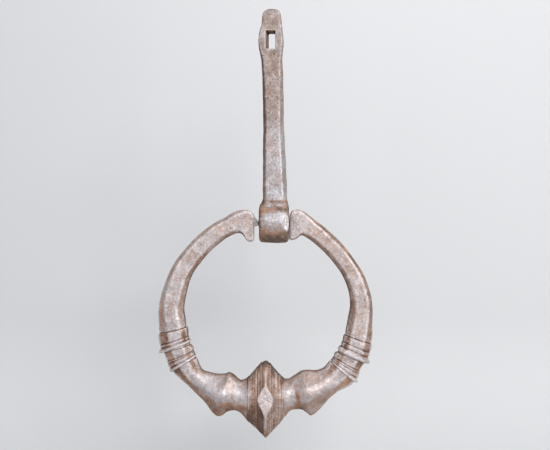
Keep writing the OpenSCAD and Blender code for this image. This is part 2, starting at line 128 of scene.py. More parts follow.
def smooth(start, end, x):
    """Rises from 0 at start to 1 at end; start may be the larger."""
    t = np.clip((x - start) / (end - start), 0, 1)
    return t * t * (3 - 2 * t)


def bump(x, centre, width):
    return np.exp(-((x - centre) / width) ** 2)


def unit(vectors):
    return vectors / np.maximum(np.linalg.norm(vectors, axis=-1, keepdims=True), 1e-9)


# Pits of three sizes: cell size, depth, share of the cells that hold one, seed.
PITS = ((3.0, 0.16, 0.10, 41), (1.8, 0.11, 0.20, 43), (1.1, 0.07, 0.34, 47))


def forged(pos, seed=0, hammer=0.22, pit=1.0):
    """How far a weathered forged surface stands from the ideal one, and its pits from 0 to 1.

    hammer is the depth of the hammer marks and pit scales the pits.
    """
    mark, mark_chance = worley(pos, 11.0, 11 + seed)
    height = hammer * (mark * mark * 2.0 - 0.55) + hammer * 0.5 * (mark_chance - 0.5)
    height = height + 0.20 * fbm(pos, 19.0, 2, 23 + seed) + 0.085 * fbm(pos, 3.8, 3, 31 + seed)
    cover = smooth(-0.25, 0.45, fbm(pos, 15.0, 2, 61 + seed))
    pits = np.zeros(pos.shape[:-1])
    for size, depth, share, pit_seed in PITS:
        distance, chance = worley(pos, size, pit_seed + seed)
        hollow = depth * smooth(0.52, 0.12, distance) * (0.5 + chance / share * 0.5)
        pits = pits + np.where(chance < share * (0.35 + 0.65 * cover), hollow, 0.0)
    return height - pit * pits, np.clip(pits * 4.0, 0, 1)


# ------------------------------------------------------------------ tables and sections
def hermite(t, start, start_slope, end, end_slope):
    return (start * (2 * t ** 3 - 3 * t ** 2 + 1) + start_slope * (t ** 3 - 2 * t ** 2 + t)
            + end * (3 * t ** 2 - 2 * t ** 3) + end_slope * (t ** 3 - t ** 2))


def curve(table, x):
    """Monotone cubic through the rows of a table whose first column is x."""
    knots, values = table[:, 0], table[:, 1:]
    gaps = np.diff(knots)[:, None]
    rises = np.diff(values, axis=0) / gaps
    slopes = np.zeros_like(values)
    slopes[0], slopes[-1] = rises[0], rises[-1]
    weight_before, weight_after = 2 * gaps[1:] + gaps[:-1], gaps[1:] + 2 * gaps[:-1]
    with np.errstate(divide="ignore", invalid="ignore"):
        harmonic = ((weight_before + weight_after)
                    / (weight_before / rises[:-1] + weight_after / rises[1:]))
    slopes[1:-1] = np.where((rises[:-1] * rises[1:]) > 0, harmonic, 0.0)
    x = np.clip(x, knots[0], knots[-1])
    i = np.clip(np.searchsorted(knots, x, side="right") - 1, 0, len(knots) - 2)
    gap = gaps[i]
    t = (x - knots[i])[:, None] / gap
    return hermite(t, values[i], slopes[i] * gap, values[i + 1], slopes[i + 1] * gap)


def lines(table, x):
    """Straight lines through the rows of a table."""
    return np.stack([np.interp(x, table[:, 0], column) for column in table[:, 1:].T], 1)


CORNER_POINTS, FLAT_POINTS = 7, 9      # points along one corner and one flat of an outline


def outline(widths, corner_points=CORNER_POINTS, flat_points=FLAT_POINTS):
    """The rounded octagon of each row, as [out, depth] points: (rows, points, 2).

    It starts at the front outer corner and runs over the outer side first.
    """
    out, inn, thick, flat_out, flat_in, side_out, side_in, rounding = widths.T
    corners = np.array([[flat_out, -thick], [out, -side_out], [out, side_out], [flat_out, thick],
                        [-flat_in, thick], [-inn, side_in], [-inn, -side_in],
                        [-flat_in, -thick]]).transpose(2, 0, 1)

    def cut_back(shift):
        leg = np.roll(corners, shift, axis=1) - corners
        share = np.minimum(0.42, rounding[:, None] / np.linalg.norm(leg, axis=2))
        return corners + leg * share[..., None]

    starts, ends = cut_back(1), cut_back(-1)
    t = np.linspace(0, 1, corner_points)[None, :, None]
    along = (np.arange(1, flat_points + 1) / (flat_points + 1))[None, :, None]
    parts = []
    for i in range(8):
        start, corner, end = (points[:, i:i + 1] for points in (starts, corners, ends))
        following = starts[:, (i + 1) % 8][:, None]
        parts.append(start * (1 - t) ** 2 + 2 * corner * t * (1 - t) + end * t ** 2)
        parts.append(end * (1 - along) + following * along)
    return np.concatenate(parts, 1)


def outline_normals(section):
    along = np.roll(section, -1, 1) - np.roll(section, 1, 1)
    return unit(np.stack([along[..., 1], -along[..., 0]], -1))


def between(start, end, shares):
    return np.array([start * (1 - share) + end * share for share in shares])


INNER_EIGHTHS = np.linspace(0, 1, 9)[1:-1]


# ------------------------------------------------------------------ meshes
def build_mesh(name, verts, quads, tris=()):
    """A smooth-shaded mesh from points in mm, turned so that its faces look outwards."""
    quads = np.asarray(quads, np.int32).reshape(-1, 4)
    tris = np.asarray(tris, np.int32).reshape(-1, 3)
    verts = np.asarray(verts, float) / 1000.0

    def volume(faces):
        first, second, third = (verts[faces[:, k]] for k in range(3))
        return np.einsum("ij,ij->i", first, np.cross(second, third)).sum()

    if volume(quads) + volume(quads[:, [0, 2, 3]]) + volume(tris) < 0:
        quads, tris = quads[:, ::-1], tris[:, ::-1]
    mesh = bpy.data.meshes.new(name)
    mesh.vertices.add(len(verts))
    mesh.vertices.foreach_set("co", verts.astype(np.float32).ravel())
    loops = np.concatenate([quads.ravel(), tris.ravel()])
    mesh.loops.add(len(loops))
    mesh.loops.foreach_set("vertex_index", loops)
    mesh.polygons.add(len(quads) + len(tris))
    starts = np.concatenate([np.arange(len(quads)) * 4, len(quads) * 4 + np.arange(len(tris)) * 3])
    mesh.polygons.foreach_set("loop_start", starts.astype(np.int32))
    mesh.update(calc_edges=True)
    mesh.validate()
    shade_smooth(mesh)
    mesh.update()
    return mesh


def shade_smooth(mesh):
    mesh.polygons.foreach_set("use_smooth", np.ones(len(mesh.polygons), bool))


def sweep(name, grid, wrap=False):
    """A closed mesh over a (rows, points, 3) grid whose rows are loops.

    wrap joins the last row to the first; otherwise both ends are capped.
    """
    row_count, count = grid.shape[:2]
    index = np.arange(row_count * count).reshape(row_count, count)
    after = np.roll(index, -1, 1)
    verts = grid.reshape(-1, 3)
    if wrap:
        return build_mesh(name, verts, np.stack(
            [index, after, np.roll(after, -1, 0), np.roll(index, -1, 0)], -1))
    quads = np.stack([index[:-1], after[:-1], after[1:], index[1:]], -1)
    verts = np.concatenate([verts, grid[0].mean(0)[None], grid[-1].mean(0)[None]])
    first_hub = np.full(count, row_count * count)
    first_cap = np.stack([first_hub, after[0], index[0]], -1)
    last_cap = np.stack([first_hub + 1, index[-1], after[-1]], -1)
    return build_mesh(name, verts, quads, np.concatenate([first_cap, last_cap]))


def add_piece(mesh, body, node, material):
    ob = bpy.data.objects.new(mesh.name, mesh)
    bpy.context.scene.collection.objects.link(ob)
    mesh.materials.append(material)
    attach(ob, body)
    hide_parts(node)


# The stored looks also carry painted light: the wear value holds painted highlights and painted
# shade, the grime value painted shade on side faces, and the edge value painted highlight lines.
LOOKS = ("wear_and_painted_light", "rust", "grime_and_shade", "edge", "gloss")


class Surface:
    """A mesh's vertices in mm and their neighbours as arrays."""

    def __init__(self, mesh):
        self.mesh = mesh
        self.count = len(mesh.vertices)
        flat = np.zeros(self.count * 3, np.float32)
        mesh.vertices.foreach_get("co", flat)
        self.pos = flat.reshape(-1, 3).astype(float) * 1000.0
        edges = np.zeros(len(mesh.edges) * 2, np.int32)
        mesh.edges.foreach_get("vertices", edges)
        edges = edges.reshape(-1, 2)
        self.here = edges.T.ravel()
        self.there = edges[:, ::-1].T.ravel()
        self.degree = np.maximum(np.bincount(self.here, minlength=self.count), 1)

    def mean(self, values):
        """The mean of each vertex's neighbours."""
        if values.ndim == 1:
            return np.bincount(self.here, values[self.there], self.count) / self.degree
        return np.stack([self.mean(column) for column in values.T], 1)

    def relax(self, values, times, share=0.5):
        for _ in range(times):
            values = values + (self.mean(values) - values) * share
        return values

    def update(self):
        """Writes the positions to the mesh and returns its normals."""
        self.mesh.vertices.foreach_set("co", (self.pos / 1000.0).astype(np.float32).ravel())
        self.mesh.update()
        flat = np.zeros(self.count * 3, np.float32)
        self.mesh.vertices.foreach_get("normal", flat)
        return flat.reshape(-1, 3).astype(float)

    def forge(self, amount, seed, extra=0.0, **marks):
        """Forges the surface by amount and moves it out by extra as well."""
        normal = self.update()
        height, self.pits = forged(self.pos, seed, **marks)
        self.pos = self.pos + normal * (height * amount + extra)[:, None]
        self.normal = self.update()
        self.facing = unit(self.relax(self.normal, 3))

    def cavity(self, times):
        """How far the surface lies below its smoothed self: positive in a hollow."""
        return ((self.relax(self.pos, times) - self.pos) * self.normal).sum(1)

    def store_looks(self, front, wear_and_painted_light, rust, line, edge_share=1.0, dirt=1.0, gloss=0.0):
        """Stores how rubbed, rusty, dirty, edged and burnished each point is, with painted light and
        painted shade mixed in.

        front is how much a point looks to the front or back, and it paints those faces paler, as
        painted light as well as wear; wear and rust are added, place by place, and the added wear
        holds painted highlights and painted shade too; line adds painted highlight lines to the pale
        edges, edge_share scales them and dirt scales the hollows.
        """
        fine, broad = self.cavity(2), self.cavity(14)
        big = fbm(self.pos, 24.0, 2, seed=71)
        mid = fbm(self.pos, 6.5, 3, seed=73)
        small = fbm(self.pos, 1.7, 2, seed=79)
        # side marks faces turned sideways, away from the front and back; below it darkens them and
        # adds to the grime as painted shade
        side = smooth(0.50, 0.08, np.abs(self.facing[:, 1]))
        edge = smooth(0.006, 0.05, -fine) * 0.6 + smooth(0.02, 0.20, -broad) * 0.75
        edge = np.clip(np.clip(edge, 0, 1) * edge_share + line, 0, 1)
        hollow = smooth(0.004, 0.045, fine) * 0.55 + smooth(0.015, 0.16, broad) * 0.8
        hollow = np.clip(hollow, 0, 1) * dirt
        # front makes the front and back paler: painted light as well as wear
        wear_and_painted_light = np.clip(0.30 - 0.10 * side + 0.52 * front + 0.30 * edge + 0.16 * big + 0.20 * mid
                       + 0.12 * small - 0.45 * hollow - 0.10 * self.pits + wear_and_painted_light, 0, 1)
        rust = smooth(0.35, 1.05, 0.30 * (1 - front) + 0.40 * hollow + 0.50 * mid + 0.45 * big
                      + 0.25 * small - 0.5 * edge + 0.12 + rust)
        grime_and_shade = np.clip(hollow * 0.75 + self.pits * 0.30 + side * 0.22 - 0.05, 0, 1)
        for key, value in zip(LOOKS, (wear_and_painted_light, rust, grime_and_shade, edge, gloss)):
            layer = self.mesh.attributes.new(key, "FLOAT", "POINT")
            value = np.array(np.broadcast_to(value, self.count), np.float32)
            layer.data.foreach_set("value", value)


# ------------------------------------------------------------------ iron materials
class Graph:
    """A material's node tree with short ways to add nodes."""

    def __init__(self, name):
        self.material = bpy.data.materials.new(name)
        self.material.use_nodes = True
        self.tree = self.material.node_tree
        self.tree.nodes.clear()

    def node(self, kind, **settings):
        node = self.tree.nodes.new(kind)
        for key, value in settings.items():
            setattr(node, key, value)
        return node

    def put(self, socket, value):
        """Links another node's output to the socket, or sets a plain value."""
        if hasattr(value, "is_output"):
            self.tree.links.new(value, socket)
        else:
            socket.default_value = value

    def math(self, operation, *values, clamp=False):
        node = self.node("ShaderNodeMath", operation=operation, use_clamp=clamp)
        for socket, value in zip(node.inputs, values):
            self.put(socket, value)
        return node.outputs[0]

    def add(self, first, second, clamp=False):
        return self.math("ADD", first, second, clamp=clamp)

    def multiply(self, first, second):
        return self.math("MULTIPLY", first, second)

    def scaled(self, value, times, plus, clamp=False):
        return self.math("MULTIPLY_ADD", value, times, plus, clamp=clamp)

    def ramp(self, value, start, end, low=0.0, high=1.0):
        node = self.node("ShaderNodeMapRange", interpolation_type="SMOOTHSTEP", clamp=True)
        for key, number in (("Value", value), ("From Min", start), ("From Max", end),
                            ("To Min", low), ("To Max", high)):
            self.put(node.inputs[key], number)
        return node.outputs["Result"]

    def mix(self, share, first, second, blend="MIX"):
        node = self.node("ShaderNodeMix", data_type="RGBA", blend_type=blend)
        self.put(node.inputs[0], share)
        for socket, colour in ((node.inputs[6], first), (node.inputs[7], second)):
            self.put(socket, (*colour, 1.0) if isinstance(colour, tuple) else colour)
        return node.outputs[2]

    def noise(self, vector, scale, detail, rough, distortion=0.0):
        node = self.node("ShaderNodeTexNoise")
        for key, value in (("Vector", vector), ("Scale", scale), ("Detail", detail),
                           ("Roughness", rough), ("Distortion", distortion)):
            self.put(node.inputs[key], value)
        return node.outputs["Fac"]

    def attribute(self, name):
        return self.node("ShaderNodeAttribute", attribute_name=name).outputs["Fac"]


# Patina from untouched to fully rubbed: wear, colour.
PATINA = ((0.0, (0.075, 0.040, 0.028)), (0.25, (0.155, 0.086, 0.059)),
          (0.48, (0.280, 0.178, 0.134)), (0.70, (0.385, 0.296, 0.264)),
          (0.88, (0.425, 0.365, 0.357)), (1.0, (0.460, 0.420, 0.430)))
RUST_LIGHT, RUST_DARK, RUST_RUBBED = (0.345, 0.172, 0.095), (0.175, 0.083, 0.047), (0.46, 0.29, 0.215)
# The grime colour also serves as painted shade on the side faces, and the pale edge colour also as
# painted highlight lines.
GRIME_AND_SHADE, PALE_EDGE_AND_HIGHLIGHT = (0.050, 0.030, 0.024), (0.62, 0.545, 0.53)
# the glint colour is a painted glint of light
PORE, PAINTED_GLINT = (0.06, 0.035, 0.028), (0.66, 0.63, 0.65)


def tinted(colour, tint):
    return tuple(channel * share for channel, share in zip(colour, tint))


def patina(net, wear_and_painted_light, tint):
    node = net.node("ShaderNodeValToRGB")
    net.put(node.inputs[0], wear_and_painted_light)
    elements = node.color_ramp.elements
    while len(elements) < len(PATINA):
        elements.new(0.5)
    # All the positions are set before any colour.
    for element, (position, _) in zip(elements, PATINA):
        element.position = position
    for element, (_, colour) in zip(elements, PATINA):
        element.color = (*tinted(colour, tint), 1)
    return node.outputs["Color"]


def iron(name, gain=0.0, tint=(1.0, 1.0, 1.0), shine=0.0):
    """Old wrought iron: brown patina, orange rust, grey where rubbed and pale along the edges;
    painted highlights, painted glints and painted shade come in through the same colours.

    gain adds wear, tint scales the metal's colours and shine lowers the roughness.
    """
    net = Graph(name)
    coords = net.node("ShaderNodeTexCoord").outputs["Object"]
    wear_and_painted_light, rust, grime_and_shade, edge, gloss = (net.attribute(key) for key in LOOKS)
    grain = net.noise(coords, scale=900, detail=5, rough=0.6)
    patches = net.noise(coords, scale=260, detail=6, rough=0.62, distortion=0.4)
    pores = net.noise(coords, scale=2100, detail=3, rough=0.6)
    stains = net.noise(coords, scale=95, detail=4, rough=0.55)
    stretch = net.node("ShaderNodeMapping")
    net.put(stretch.inputs["Vector"], coords)
    net.put(stretch.inputs["Rotation"], (0.3, 0.5, 0.9))
    net.put(stretch.inputs["Scale"], (1.0, 1.0, 9.0))
    scratches = net.noise(stretch.outputs["Vector"], scale=420, detail=3, rough=0.7)
    scratches = net.ramp(scratches, start=0.60, end=0.72)

    wear_and_painted_light = net.add(wear_and_painted_light, net.scaled(grain, times=0.42, plus=-0.21 + gain))
    wear_and_painted_light = net.add(wear_and_painted_light, net.scaled(patches, times=0.36, plus=-0.18))
    wear_and_painted_light = net.add(wear_and_painted_light, net.multiply(scratches, 0.04), clamp=True)
    colour = patina(net, wear_and_painted_light, tint)

    # rust, held back where the metal is rubbed
    rust = net.add(rust, net.scaled(patches, times=0.8, plus=-0.42))
    rust = net.ramp(rust, start=0.22, end=0.95, high=0.80)
    rubbed = net.multiply(net.ramp(wear_and_painted_light, start=0.55, end=1.0), 0.55)
    rust = net.multiply(rust, net.math("SUBTRACT", 1.0, rubbed))
    rust_colour = net.mix(net.ramp(stains, start=0.38, end=0.62), RUST_LIGHT, RUST_DARK)
    rust_colour = net.mix(net.multiply(wear_and_painted_light, 0.6), rust_colour, RUST_RUBBED)
    colour = net.mix(rust, colour, rust_colour)

    # dirt in the hollows and painted shade on the side faces, pale metal on the edges and painted
    # highlight lines along the corners
    grime_and_shade = net.add(grime_and_shade, net.scaled(grain, times=0.45, plus=-0.25))
    grime_and_shade = net.ramp(grime_and_shade, start=0.15, end=0.95, high=0.85)
    colour = net.mix(grime_and_shade, colour, GRIME_AND_SHADE)
    edge = net.add(edge, net.scaled(grain, times=0.7, plus=-0.37))
    edge = net.ramp(edge, start=0.35, end=0.95, high=0.72)
    colour = net.mix(edge, colour, tinted(PALE_EDGE_AND_HIGHLIGHT, tint))

    # dark pores, painted glints of light and an overall mottle
    speck = net.multiply(net.ramp(pores, start=0.60, end=0.70, high=0.34),
                         net.scaled(gloss, times=-0.5, plus=1.0))
    colour = net.mix(speck, colour, net.mix(0.55, colour, PORE))
    painted_glint = net.ramp(pores, start=0.40, end=0.30, high=0.22)
    colour = net.mix(net.multiply(painted_glint, wear_and_painted_light), colour, PAINTED_GLINT)
    mottle = net.add(net.noise(coords, scale=640, detail=5, rough=0.75), -0.5)
    mottle = net.scaled(mottle, times=net.scaled(gloss, times=-1.1, plus=1.8), plus=0.97)
    cloud = net.noise(coords, scale=210, detail=3, rough=0.6, distortion=0.8)
    mottle = net.add(mottle, net.scaled(cloud, times=0.9, plus=-0.45))
    grey = net.node("ShaderNodeCombineColor")
    for i in range(3):
        net.put(grey.inputs[i], mottle)
    colour = net.mix(1.0, colour, grey.outputs[0], blend="MULTIPLY")

    metal = net.scaled(wear_and_painted_light, times=0.36, plus=0.10)
    metal = net.multiply(metal, net.math("SUBTRACT", 1.0, net.math("MAXIMUM", rust, grime_and_shade)))
    metal = net.math("MAXIMUM", metal, net.multiply(edge, 0.6))
    metal = net.scaled(gloss, times=0.18, plus=metal, clamp=True)

    rough = net.scaled(wear_and_painted_light, times=-0.14, plus=0.64 - shine)
    rough = net.add(rough, net.multiply(rust, 0.20))
    rough = net.add(rough, net.multiply(grime_and_shade, 0.15))
    grain_share = net.scaled(gloss, times=-0.22, plus=0.5)
    rough = net.add(rough, net.multiply(net.add(grain, -0.5), grain_share))
    rough = net.math("SUBTRACT", rough, net.multiply(edge, 0.08))
    rough = net.scaled(gloss, times=-0.18, plus=rough)
    rough = net.math("MINIMUM", net.math("MAXIMUM", rough, 0.20), 0.95)

    height = net.multiply(grain, 0.9)
    height = net.scaled(pores, times=0.32, plus=height)
    height = net.scaled(patches, times=1.2, plus=height)
    height = net.math("SUBTRACT", height, net.multiply(scratches, 0.06))
    height = net.add(height, net.multiply(rust, net.multiply(grain, 0.7)))
    relief = net.node("ShaderNodeBump")
    net.put(relief.inputs["Strength"], net.scaled(gloss, times=-0.24, plus=0.8))
    net.put(relief.inputs["Distance"], 0.0006)
    net.put(relief.inputs["Height"], height)

    shader = net.node("ShaderNodeBsdfPrincipled")
    for key, value in (("Base Color", colour), ("Metallic", metal), ("Roughness", rough),
                       ("Normal", relief.outputs["Normal"])):
        net.put(shader.inputs[key], value)
    output = net.node("ShaderNodeOutputMaterial")
    net.put(output.inputs["Surface"], shader.outputs["BSDF"])
    return net.material


IRON = iron("iron_bar")
IRON_SHANK = iron("iron_shank", tint=(0.80, 0.84, 0.865))
IRON_WORN = iron("iron_collar", gain=0.05, tint=(1.04, 1.03, 1.02), shine=0.04)
IRON_DARK = iron("iron_bead", gain=-0.02, tint=(1.0, 0.98, 0.97))


# ------------------------------------------------------------------ arms of the ring
NECK_R = 9.8                                  # neck inside the bead
LEFT_ARM, RIGHT_ARM = 6.8, 6.35               # half widths of the arms
COLLARED = 8.8                                # half width at the collars
ARM_T, COLLAR_T, SHOULDER_T = 6.5, 7.8, 12.2  # half thicknesses
ROW_STEP = 0.45                               # between rows along an arm
TILT = 0.13                                   # lean of the rows near the upper collars
LEVEL_END = 2.2                               # station up to which a lug turns from level
NUB_ROWS = 12
UPPER_SEAT, LOWER_SEAT = (9.25, 10.1), (10.55, 11.05)      # stations that the collars span

# Centrelines as [x, z] from the pivot, lug end first. A station is a point's number.
LEFT_LINE = [
    [-13.9, -1.9], [-19.0, -0.9], [-24.5, -0.5], [-32.2, -2.8], [-44.7, -11.2], [-56.5, -23.7],
    [-63.6, -33.9], [-68.0, -45.5], [-71.2, -61.1], [-70.4, -71.2], [-68.3, -85.7],
    [-63.2, -98.3], [-54.9, -108.3], [-46.2, -114.4], [-36.0, -119.0], [-26.2, -120.2],
    [BEAD_X, -TABLE_BOW]]
RIGHT_LINE = [
    [10.75, -1.7], [15.9, -1.2], [20.2, -1.8], [26.6, -5.2], [35.2, -12.1], [49.0, -27.1],
    [58.1, -44.2], [60.7, -58.4], [59.6, -71.0], [58.9, -77.2], [54.9, -92.3], [48.6, -103.6],
    [40.7, -110.4], [31.7, -115.0], [22.4, -117.8], [15.0, -119.6], [BEAD_X, -TABLE_BOW]]

# Sections along the arms, in bands of (base sizes, rows). A row is station, outer half width,
# inner half width and half thickness, these three over the band's base sizes, then front flat
# to outer, front flat to inner, half side flat outer, half side flat inner, corner round.
NECK = (NECK_R, NECK_R, NECK_R)
LEFT_BANDS = [
    ((0, 0, ARM_T), [
        [0, 6.7, 9.4, -0.5, 5.9, 8.5, 4, 4, 1], [0.12, 8.2, 10.7, -0.3, 7.2, 9.8, 4.6, 4.6, 1.2],
        [0.35, 9.4, 11.5, -0.2, 8.4, 10.4, 4.8, 4.8, 1.6],
        [0.9, 9.9, 12.2, -0.1, 8.7, 11.2, 4.8, 4.8, 1.6],
        [1.2, 9.6, 11.7, 0, 8, 10.5, 4.6, 4.6, 1.6], [1.45, 9.4, 10, 0, 7.4, 8.4, 4.5, 4.4, 1.6],
        [1.7, 9.1, 8.2, 0, 6.7, 6.4, 4.4, 4.2, 1.6], [2.1, 8.3, 6.9, 0, 5.5, 5, 4.2, 4.2, 1.5],
        [2.5, 7.4, 6.6, 0, 4.7, 4.5, 4.1, 4.1, 1.4]]),
    ((LEFT_ARM, LEFT_ARM, ARM_T), [
        [3, -0.5, -0.3, 0, 3.9, 3.9, 4, 4, 1.4], [4, 0.2, 0, 0, 3.9, 4.2, 3.9, 4, 1.4],
        [5, 0.4, 0, 0.1, 4.3, 4, 3.9, 3.9, 1.4], [6, 0.8, 0.3, 0.3, 4.3, 4.1, 3.9, 3.8, 1.5],
        [7, 1.4, 0.9, 0.6, 4.2, 4.3, 3.9, 3.9, 1.6]]),
    ((COLLARED, COLLARED, COLLAR_T), [
        [8, 0, -0.2, -0.3, 3.4, 4.8, 3.8, 4.3, 1.8], [9, 0.6, 0.2, 0, 1.9, 5.4, 3.6, 4.8, 1.8],
        [9.25, 0.6, 0.2, 0, 1.7, 5.5, 3.6, 4.9, 1.6],
        [10.1, 0.4, 0.2, -0.2, 1.7, 5.6, 3.6, 4.9, 1.5],
        [10.2, -0.2, 1.2, -0.4, 1.6, 5.6, 3.4, 4.8, 1.5],
        [10.35, -0.2, 2.3, -0.5, 1.5, 5.6, 3.4, 4.7, 1.5],
        [10.48, -0.4, 2, -0.5, 1.4, 5.4, 3.3, 4.7, 1.5],
        [10.55, -0.5, 1, -0.5, 1.4, 5.2, 3.3, 4.6, 1.5],
        [11.05, -0.5, 0.5, -0.6, 1.2, 4.8, 3.2, 4.2, 1.8],
        [11.18, -0.6, 1.1, -0.7, 1.2, 4.6, 3.1, 4, 2],
        [11.35, -1.2, 0.8, -0.8, 1.2, 4.3, 3, 3.8, 2.2]]),
    ((LEFT_ARM, COLLARED, COLLAR_T), [[11.6, 0.3, 0, -0.9, 1.2, 4, 2.9, 3.6, 2.3]]),
    ((LEFT_ARM, LEFT_ARM, COLLAR_T), [
        [12, 0, 1.1, -0.8, 1.2, 3.8, 2.8, 3.4, 2.4], [12.6, 0.8, 2.6, 0.1, 1.2, 3.8, 2.6, 3.4, 2.6],
        [13, 1.9, 3.9, 1.1, 1.3, 3.8, 2.6, 3.4, 2.8]]),
    ((LEFT_ARM, LEFT_ARM, SHOULDER_T), [
        [13.5, 4.4, 6.1, -1.6, 1.5, 3.9, 2.6, 3.4, 3],
        [13.85, 7.7, 7.4, -0.3, 1.6, 4, 2.6, 3.4, 3.2],
        [14.03, 8.9, 8.1, 0, 1.7, 4.1, 2.7, 3.6, 3.2],
        [14.2, 8, 8.5, -0.2, 1.8, 4.2, 2.9, 3.8, 3.4],
        [14.45, 4.6, 8.4, -1.2, 2.6, 4.3, 3.2, 4, 3.6],
        [14.75, 3.4, 7.2, -2.2, 3.4, 4.3, 3.6, 4.2, 3.6]]),
    ((NECK_R, LEFT_ARM, NECK_R), [[15, 0.2, 5.1, 0.3, 3.9, 4.2, 4, 4.2, 4]]),
    (NECK, [
        [15.14, 1.2, 0.8, 0.1, 4, 4, 4, 4, 4.2], [15.26, 3.6, 1.3, 0.7, 4, 4, 4.2, 4.2, 4.2],
        [15.34, 5.9, 2, 1.5, 4, 4, 4.4, 4.4, 4.2], [15.378, 7, 2.5, 1.9, 4, 4, 4.6, 4.6, 4],
        [15.382, -0.2, -0.2, -0.2, 4, 4, 4, 4, 4.4], [16, -0.2, -0.2, -0.2, 4, 4, 4, 4, 4.4]])]
RIGHT_BANDS = [
    ((0, 0, ARM_T), [
        [0, 6.3, 9.6, -1.1, 5.4, 8.6, 3.8, 4.2, 1.2],
        [0.22, 9.3, 10.6, -0.5, 8.3, 9.5, 4.5, 4.6, 1.4],
        [0.6, 10.4, 10.9, -0.2, 9.2, 9.8, 4.7, 4.8, 1.6],
        [1.15, 10.3, 10.8, 0, 8.8, 9.6, 4.7, 4.8, 1.6],
        [1.6, 9.4, 10.3, 0, 7.8, 8.9, 4.6, 4.6, 1.6], [1.92, 8.5, 9.2, 0, 6.8, 7.6, 4.4, 4.4, 1.5],
        [2.18, 7.8, 7.4, 0, 6, 5.8, 4.3, 4.3, 1.5], [2.45, 7.2, 6.8, 0, 5.3, 5, 4.2, 4.2, 1.4]]),
    ((RIGHT_ARM, RIGHT_ARM, ARM_T), [
        [3, 0.3, 0.3, 0, 4.3, 4.2, 4.1, 4.1, 1.4], [4, 0, 0, 0, 3.6, 3.8, 3.9, 3.9, 1.4],
        [5, 0.1, 0, 0.1, 3.8, 3.7, 3.9, 3.9, 1.4], [6, 0.5, 0.5, 0.4, 4.1, 3.9, 3.9, 3.9, 1.5],
        [7, 1.1, 1.2, 0.7, 4.4, 4.2, 3.9, 3.9, 1.6]]),
    ((COLLARED, COLLARED, COLLAR_T), [
        [8, -0.2, -0.3, -0.2, 4.4, 4.5, 3.9, 4.1, 1.7], [9, 0.6, 0.1, 0, 3.6, 5, 3.8, 4.5, 1.8],
        [9.25, 0.7, 0.1, 0, 3.3, 5.1, 3.8, 4.6, 1.6],
        [10.1, 0.3, 0.8, -0.2, 2.8, 5.4, 3.7, 4.8, 1.5],
        [10.2, -0.3, 2.2, -0.4, 2.6, 5.6, 3.6, 4.8, 1.5],
        [10.35, -0.6, 3.1, -0.6, 2.6, 5.8, 3.6, 4.7, 1.5],
        [10.48, -0.8, 3, -0.5, 2.4, 5.6, 3.5, 4.7, 1.5],
        [10.55, -0.6, 2.2, -0.5, 2.2, 5.4, 3.5, 4.7, 1.5],
        [11.05, 0.5, 1.8, -0.4, 1.8, 5.2, 3.4, 4.4, 1.8],
        [11.18, 0.8, 3.2, -0.4, 1.7, 5, 3.3, 4.2, 2], [11.4, 0.3, 3.1, -0.5, 1.5, 4.8, 3.2, 4, 2.2],
        [12, -1.2, 2.2, 0.2, 1.3, 4.4, 3, 3.8, 2.4], [12.6, 0, 2.9, 1.6, 1.3, 4, 2.8, 3.6, 2.6]]),
    ((COLLARED, COLLARED, SHOULDER_T), [
        [13, 2.1, 4.2, -1.9, 1.4, 3.9, 2.6, 3.5, 2.8], [13.5, 5.3, 5.8, -0.6, 1.5, 3.9, 2.6, 3.5, 3],
        [13.9, 7.4, 6.2, 0, 1.6, 4, 2.7, 3.6, 3.2], [14.12, 7.8, 5.8, -0.1, 1.7, 4.1, 2.8, 3.7, 3.2],
        [14.4, 5.4, 5.1, -0.8, 2.2, 4.2, 3, 3.9, 3.4],
        [14.7, 2.4, 4.5, -1.6, 2.9, 4.3, 3.4, 4.1, 3.6]]),
    ((NECK_R, COLLARED, SHOULDER_T), [[15, 0.2, 3.8, -2.3, 3.6, 4.3, 3.8, 4.2, 3.8]]),
    (NECK, [
        [15.14, -0.1, 1.8, 0.1, 3.9, 4.2, 4, 4.2, 4], [15.28, 1.6, 1.5, 0.7, 4, 4, 4.2, 4.2, 4.2],
        [15.35, 3.9, 1.9, 1.4, 4, 4, 4.4, 4.4, 4.2], [15.398, 4.7, 2.3, 1.9, 4, 4, 4.6, 4.6, 4],
        [15.402, -0.2, -0.2, -0.2, 4, 4, 4, 4, 4.4], [16, -0.2, -0.2, -0.2, 4, 4, 4, 4, 4.4]])]


